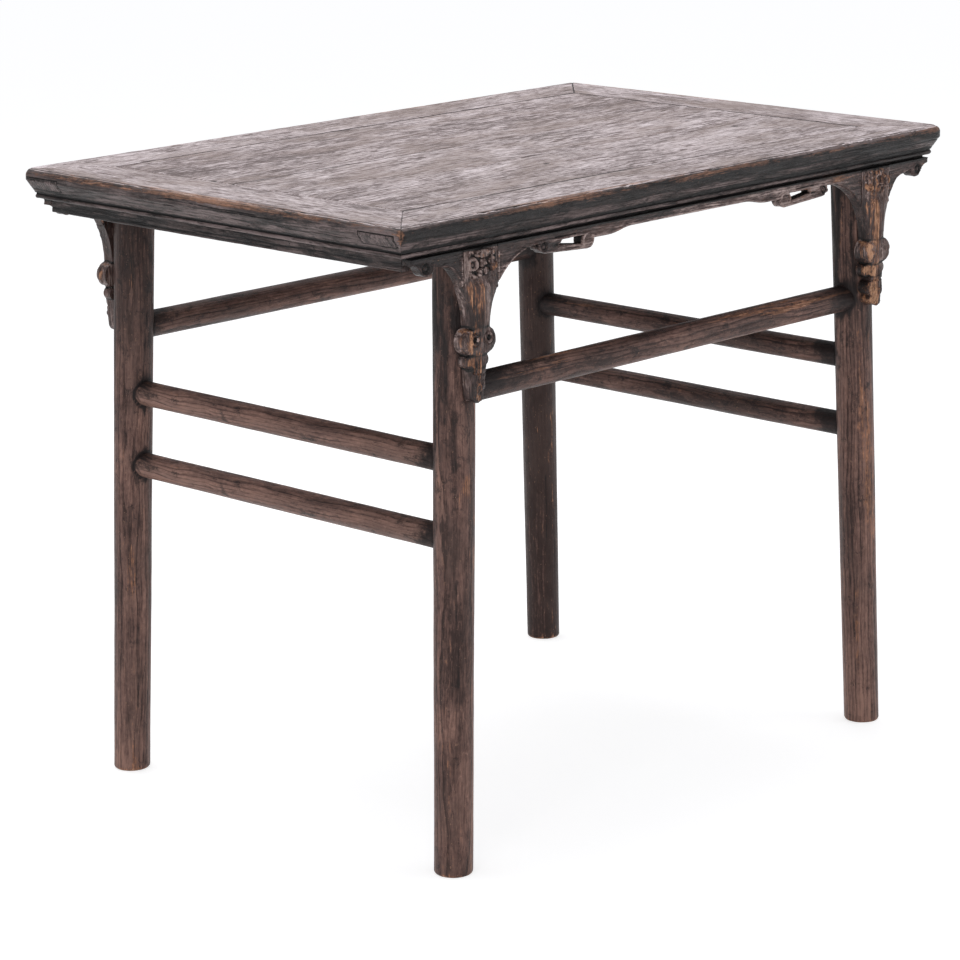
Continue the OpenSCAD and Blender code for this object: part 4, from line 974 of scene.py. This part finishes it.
def make_bracket(name, side_x, side_y, seed, worn_side, wall_tone_and_shade, boss_gain, light, wear_gain):
    """A bracket with its curls and boss. Worn_side is the side on which the rib is rubbed bare,
    wall_tone_and_shade how light its side walls are, a darker setting standing for painted shade on them,
    and boss_gain how much of the boss is left."""
    outline = bracket_outline()
    rng = np.random.default_rng(seed)
    lumps = [(x + rng.uniform(-1.5, 1.5), z + rng.uniform(-1.5, 1.5), r, h * boss_gain)
             for x, z, r, h in BOSS_LUMPS]
    pits = [(rng.uniform(-21, 21), BOSS_Z + rng.uniform(-14, 14), rng.uniform(1.4, 3.2)) for _ in range(14)]
    # Places of painted glints on the boss and on the curl.
    painted_glints = [(rng.uniform(-24, 24), BOSS_Z + rng.uniform(-15, 15), rng.uniform(0.9, 1.7)) for _ in range(18)]
    painted_glints += [(12.0 + rng.uniform(-6, 6), CURL_Z + rng.uniform(-4, 9), rng.uniform(0.8, 1.4))
              for _ in range(4)]
    curls = [(e * (CURL_SPAN / 2 - CURL_R) + lean_at(CURL_Z), CURL_Z, CURL_R) for e in (-1, 1)]
    low_curls = [(e * LOW_CURL_SPAN / 2 + lean_at(LOW_CURL_Z), LOW_CURL_Z, LOW_CURL_R) for e in (-1, 1)]
    holes = [(e * 12.0 + lean_at(CURL_Z), CURL_Z + 3.0, 3.6) for e in (-1, 1)]
    hole_depth = 1.0 if boss_gain > 0.5 else 0.25
    swellings = [(worn_side * across + lean_at(z), z, r) for across, z, r in SWELLINGS if worn_side < 0]

    def body(s, z):
        return with_discs(polygon_distance(s, z, outline), s, z, curls)

    def distance(s, z):
        return with_discs(body(s, z), s, z, low_curls + swellings)

    def boss_reach(s, z):
        """Distance from the boss's middle, 1 at its ragged edge."""
        ragged = 1 + 0.16 * noise(pile(s, 0, z), (11, 9, 11), seed + 20)
        return np.hypot(s / BOSS_W, (z - BOSS_Z) / BOSS_H) * ragged

    def height(s, z):
        grit, rho = field(pile(s, 0, z), seed), boss_reach(s, z)
        axis = lean_at(z) + 1.2 * grit((1e6, 1e6, 45), 2)
        off = np.abs(s - axis)
        inside = np.maximum(-polygon_distance(s, z, outline), 0)
        crest = 7.6 * step(-z, 38, 54) * (1 - 0.5 * step(-z, 96, 150)) * (1 - 0.55 * step(-z, 150, 190))
        h = -0.4 + crest * (inside / (inside + off + 0.01)) ** 0.6 + hand_cut(grit)
        h = h + 1.4 * grit((2.4, 5, 30), 3, 2) * step(off, 14, 8) * step(-z, 30, 50)
        lip = 0.7 * grit((6, 6, 6), 8, 2)
        for cx, cz, r in curls:
            h = np.maximum(h, -0.3 + 5.2 * dome(np.hypot((s - cx) * 1.05, z - cz), r) ** 0.55 + lip)
        for cx, cz, r in holes:
            d = np.hypot(s - cx, z - cz)
            rims = 1.4 * bump(d, r + 2.0, 1.2) - 1.2 * bump(d, r + 4.6, 1.0) * (d < 9)
            h = h + hole_depth * (rims - 4.5 * dome(d, r))
        # the tip: a ragged lobe, a groove above it, and the broken knobs
        h = np.maximum(h, 3.4 * dome(np.hypot((s - axis) / 1.15, z + 171), 9) + 1.9 * grit((4, 4, 5), 9, 2))
        h = h - 1.8 * bump(z + 158 + 4 * grit((8, 6, 8), 12), 0, 1.8)
        rough = 2.6 * grit((4, 4, 4), 25, 2)
        for cx, cz, r in swellings:
            h = np.maximum(h, -1.5 + 3.5 * dome(np.hypot(s - cx, z - cz), r) ** 0.6 + rough)
        # the small curls lie lower than the body
        outer = step(body(s, z), -1.5, 0.6)
        low = sum(3.2 * dome(np.hypot(s - cx, z - cz), r + 0.5) for cx, cz, r in low_curls) - LOW_CURL_BACK
        h = np.where(np.abs(z - LOW_CURL_Z) < LOW_CURL_R + 2, h * (1 - outer) + low * outer, h)
        # the boss: a heap of carved lumps with deep cuts between them, and an open ring on its outer side
        knob = np.zeros_like(s)
        for cx, cz, r, high in lumps:
            knob = np.maximum(knob, high * dome(np.hypot(s - cx, z - cz), r) ** 0.6)
        ring = np.hypot(s - BOSS_RING[0], z - BOSS_RING[1])
        ridges = 1 - 2.2 * np.abs(grit((6.5, 4, 6.5), 5, 2))
        boss = 2.0 * dome(rho, 1.05) ** 0.6 + knob + 1.3 * ridges * boss_gain + 1.1 * grit((2.2, 2, 2.6), 22)
        open_ring = 2.0 + 4.6 * bump(ring, BOSS_RING[2], 2.0) + 1.8 * dome(ring, 2.8)
        open_ring = open_ring + 0.8 * grit((2.6, 2, 2.6), 24)
        boss = np.where(ring < BOSS_RING[2] + 2.5, open_ring, boss)
        boss = boss + (1 - boss_gain) * 1.6 * grit((2.4, 4, 24), 23, 2)
        for cx, cz, r in pits:
            boss = boss - 3.2 * dome(np.hypot(s - cx, z - cz), r)
        return np.maximum(h, boss - 1.0 - 7 * step(rho, 0.92, 1.2))

    def front(s, z, depth):
        y = APRON_FACE + np.clip(height(s, z), -5.5, 10.2)
        return y - flesh_round(depth, 2.0) * (z < -SHADOW_GAP - 0.6)

    def back(s, z, depth):
        return np.where(z > -APRON_H + 0.05, APRON_FACE - LAP + 0.1, APRON_BACK + 0.1)

    def marks_of(s, z, y, depth, count):
        grit, h, rho = field(pile(s, y, z), seed), height(s, z), boss_reach(s, z)
        index = np.arange(len(s))
        wall, face = (index >= 2 * count) * 1.0, (index < count) * 1.0
        fibre = grit((2.4, 40, 30), 3, 2)
        patchy = step(grit((11, 9, 11), 6, 2), -0.25, 0.45)
        tiny = grit((3, 3, 3), 10)
        side = worn_side * (s - lean_at(z))
        # the rubbed slope of the rib, with bare fibres along it, and the bare curls and tip
        slope = step(side, -5, 2) * step(-z, 36, 50) * face * step(depth, 1.0, 5.0)
        wear = slope * (0.58 + 0.46 * fibre) + (1 - slope) * face * 0.12 * (1 + fibre)
        wear = wear + 0.6 * wall * bump(z, CURL_Z + 1, 9) * bump(y, APRON_FACE - 6, 5) * step(side, 0, 6)
        bared = (0.6 if worn_side > 0 else 1.1) * (1 - wall) * bump(side, 20, 9)
        bared = bared + wall * step(y, APRON_BACK + 3, APRON_FACE - 6)
        zone = np.maximum(0.9 * bump(z, LOW_CURL_Z, 8), 0.8 * bump(z, -176, 14))
        zone = np.maximum(bump(z, CURL_Z, 15), zone)
        wear = wear * (1 - 0.35 * zone) + zone * (0.2 + 0.5 * patchy) * bared * step(side, 0, 6)
        wear = wear + 0.3 * bump(z, -184, 12) * step(side, -6, 0) * (0.4 + patchy)
        # the boss, with bare peaks and one bare lump, and its cuts darkened, partly as soot and partly as
        # painted shade
        boss = step(rho, 1.08, 0.96) * face
        peaks = step(h, 2.6, 5.6) * np.clip(0.6 + 0.9 * tiny, 0, 1.2)
        lump = bump(np.hypot((s + 21) / 7, (z + 29) / 5.5), 0, 1)
        rim = bump(np.hypot(s - BOSS_RING[0], z - BOSS_RING[1]), BOSS_RING[2], 1.6) * boss_gain
        rubbed = 0.42 * peaks + 0.6 * lump + 0.7 * (1 - boss_gain) * (1 + 0.6 * fibre)
        wear = wear * (1 - boss) + boss * rubbed
        dirt_and_shade = boss * boss_gain * step(h, 3.2, 1.0) * 0.75 * step(rho, 0.95, 0.8) + 0.10 * (1 - wall)
        # Painted shade along the top under the frame, and on the walls under the apron and below the small
        # curls; a dark joint line at the head's sides.
        dirt_and_shade = dirt_and_shade + 0.8 * step(z, -6.5, -3.5)
        dirt_and_shade = dirt_and_shade + wall * (0.35 * bump(z, -160, 12) + 0.5 * step(-z, 34, 24))
        dirt_and_shade = dirt_and_shade + 0.15 * bump(np.abs(s), HEAD_HALF, 0.5) * (z > -58) * face
        # Painted shade in the curls' eyes.
        for cx, cz, r in holes:
            dirt_and_shade = dirt_and_shade + 1.1 * hole_depth * step(np.hypot(s - cx, z - cz), r + 0.8, r - 0.8) * face
        # Painted shade in the creases along the edges of the curls.
        level = z + 2.0 * grit((9, 9, 9), 14)
        for edge_z in (CURL_Z + CURL_R, CURL_Z - CURL_R, LOW_CURL_Z - LOW_CURL_R):
            dirt_and_shade = dirt_and_shade + 0.85 * bump(level, edge_z, 2.0) * (1 - 0.4 * slope)
        broken = step(grit((4, 4, 4), 25, 2), 0.0, -0.5)
        for cx, cz, r in swellings:
            near = step(np.hypot(s - cx, z - cz), r + 1, r - 4)
            wear, dirt_and_shade = wear + 0.35 * near * (0.3 + patchy), dirt_and_shade + 0.5 * near * broken
        # A painted highlight along the top edge of the curls, added to both the wear and the lightness.
        glint = bump(level, CURL_Z + CURL_R - 3.5, 1.8) * np.maximum(wall, 0.4) * step(side, 2, 8)
        # Lightness: random tone, the walls' tone and painted shade, lighter rubbed fibres, and painted
        # highlights on the boss's peaks and ring, tiny glints, the right bracket's curl and the glint spots.
        tone = 0.12 * grit((24, 20, 30), 7) + wall_tone_and_shade * wall + 0.15 * boss * peaks + 0.2 * slope * fibre
        tone = tone + boss * 0.7 * step(tiny, 0.3, 0.7) * step(h, 1.5, 4)
        tone = tone - 0.06 * (1 - slope) * face * (z < -45)
        tone = tone + 0.45 * boss * rim + 0.9 * glint * step(tiny, -0.5, 0.2)
        tone = tone + (0.4 if worn_side < 0 else 0.0) * bump(z, CURL_Z + 6, 8) * step(side, 4, 10)
        for cx, cz, r in painted_glints:
            tone = tone + 1.3 * step(np.hypot(s - cx, z - cz), r, 0.4 * r) * face
        return pile(np.clip(wear + 0.6 * glint, 0, 1.2), np.clip(dirt_and_shade, 0, 1.2), tone)

    def moved(f):
        return lambda x, *rest: f(x - LEG_X, *rest)

    fine = CELL * 0.75
    xs = LEG_X + with_cuts(spaced(-36, 44, fine), [-HEAD_HALF, HEAD_HALF], 0.3)
    zs = np.concatenate([spaced(-BRACKET_L - 1, -APRON_H - 0.3, fine),
                         spaced(-APRON_H + 0.3, -SHADOW_GAP, fine)])
    relief(name, xs, zs, moved(distance), moved(front), moved(back), moved(marks_of), (2, 0, 1), side_x,
           side_y, seed, light=light, wear_gain=wear_gain)


make_apron("apron_front", -1, 201)
make_apron("apron_rear", 1, 211)
make_bracket("bracket_front_left", -1, -1, 221, worn_side=1, wall_tone_and_shade=0.06, boss_gain=1.0, light=-0.07,
             wear_gain=1.0)
make_bracket("bracket_front_right", 1, -1, 232, worn_side=-1, wall_tone_and_shade=-0.26, boss_gain=0.45, light=-0.1,
             wear_gain=1.1)
make_bracket("bracket_rear_left", -1, 1, 243, worn_side=1, wall_tone_and_shade=0.0, boss_gain=0.9, light=0.0,
             wear_gain=0.9)
make_bracket("bracket_rear_right", 1, 1, 254, worn_side=1, wall_tone_and_shade=0.0, boss_gain=0.8, light=0.0,
             wear_gain=0.9)


# Floor, light and camera

def floor_finish():
    """A pale matt surface that shows as white to the camera, with the object's shadow kept on it."""
    f = Finish(bpy.data.materials.new("pale_floor"))
    matt = f.put("ShaderNodeBsdfDiffuse", 0, {0: (0.9, 0.9, 0.9, 1)})
    bright = f.put("ShaderNodeBsdfDiffuse", 0, {0: (1.6, 1.6, 1.6, 1)})
    glow = f.put("ShaderNodeEmission", 0, {0: (1, 1, 1, 1), 1: 1.0})
    shown = f.put("ShaderNodeMixShader", 0, {0: 0.35, 1: glow, 2: bright})
    rays = f.put("ShaderNodeLightPath", None).outputs
    seen = f.math("MAXIMUM", rays["Is Camera Ray"],
                  f.math("MAXIMUM", rays["Is Glossy Ray"], rays["Is Transmission Ray"]))
    shown = f.put("ShaderNodeMixShader", 0, {0: seen, 1: matt, 2: shown})
    f.put("ShaderNodeOutputMaterial", None, {0: shown})
    return f.owner


FLOOR_HALF = 30.0
floor_mesh = bpy.data.meshes.new("floor")
corners = [(x * FLOOR_HALF, y * FLOOR_HALF, 0) for x, y in ((-1, -1), (1, -1), (1, 1), (-1, 1))]
floor_mesh.from_pydata(corners, [], [(0, 1, 2, 3)])
floor_mesh.materials.append(floor_finish())
floor = bpy.data.objects.new("floor", floor_mesh)
bpy.context.scene.collection.objects.link(floor)

# The world is white to the camera and slightly blue and dimmer to everything else
studio = Finish(bpy.data.worlds.new("studio"))
bpy.context.scene.world = studio.owner
studio.put("ShaderNodeOutputWorld", None, {0: studio.put("ShaderNodeMixShader", 0, {
    0: studio.put("ShaderNodeLightPath", "Is Camera Ray"),
    1: studio.put("ShaderNodeBackground", 0, {0: (0.95, 0.96, 1.0, 1), 1: 0.62}),
    2: studio.put("ShaderNodeBackground", 0, {0: (1, 1, 1, 1), 1: 1.0})})})


def softbox(name, place, aim, size, power):
    lamp = bpy.data.lights.new(name, "AREA")
    lamp.shape, lamp.size, lamp.size_y, lamp.energy = "RECTANGLE", size[0], size[1], power
    holder = bpy.data.objects.new(name, lamp)
    holder.location = place
    holder.rotation_mode = "QUATERNION"
    holder.rotation_quaternion = (Vector(aim) - Vector(place)).to_track_quat("-Z", "Y")
    bpy.context.scene.collection.objects.link(holder)


softbox("overhead", (0.2, 0.9, 3.4), (0, 0, 0.8), (3.4, 2.6), 62)
softbox("left_front", (-3.4, -2.2, 2.0), (0, 0, 0.5), (2.4, 2.4), 38)
softbox("right_front", (2.6, -3.6, 1.8), (0, 0, 0.5), (2.4, 2.0), 26)

# The photograph's camera, found from the table's own lines and outline
CAMERA_AT = (-3.37756, -3.20457, 1.55783)
YAW, PITCH, ROLL, FOCAL_PX, FRAME_PX, SENSOR = 0.80562, -0.24841, -0.01127, 3506.56, 960.0, 36.0
ahead = Vector((math.sin(YAW) * math.cos(PITCH), math.cos(YAW) * math.cos(PITCH), math.sin(PITCH)))
right = Vector((math.cos(YAW), -math.sin(YAW), 0.0))
up = right.cross(ahead)
rolled = (right * math.cos(ROLL) + up * math.sin(ROLL), up * math.cos(ROLL) - right * math.sin(ROLL), -ahead)
camera = bpy.data.objects.new("camera", bpy.data.cameras.new("camera"))
camera.data.lens = SENSOR * FOCAL_PX / FRAME_PX
camera.data.sensor_width = SENSOR
camera.matrix_world = Matrix.Translation(CAMERA_AT) @ Matrix(rolled).transposed().to_4x4()
bpy.context.scene.collection.objects.link(camera)
bpy.context.scene.camera = camera
bpy.context.scene.view_settings.view_transform = "Standard"
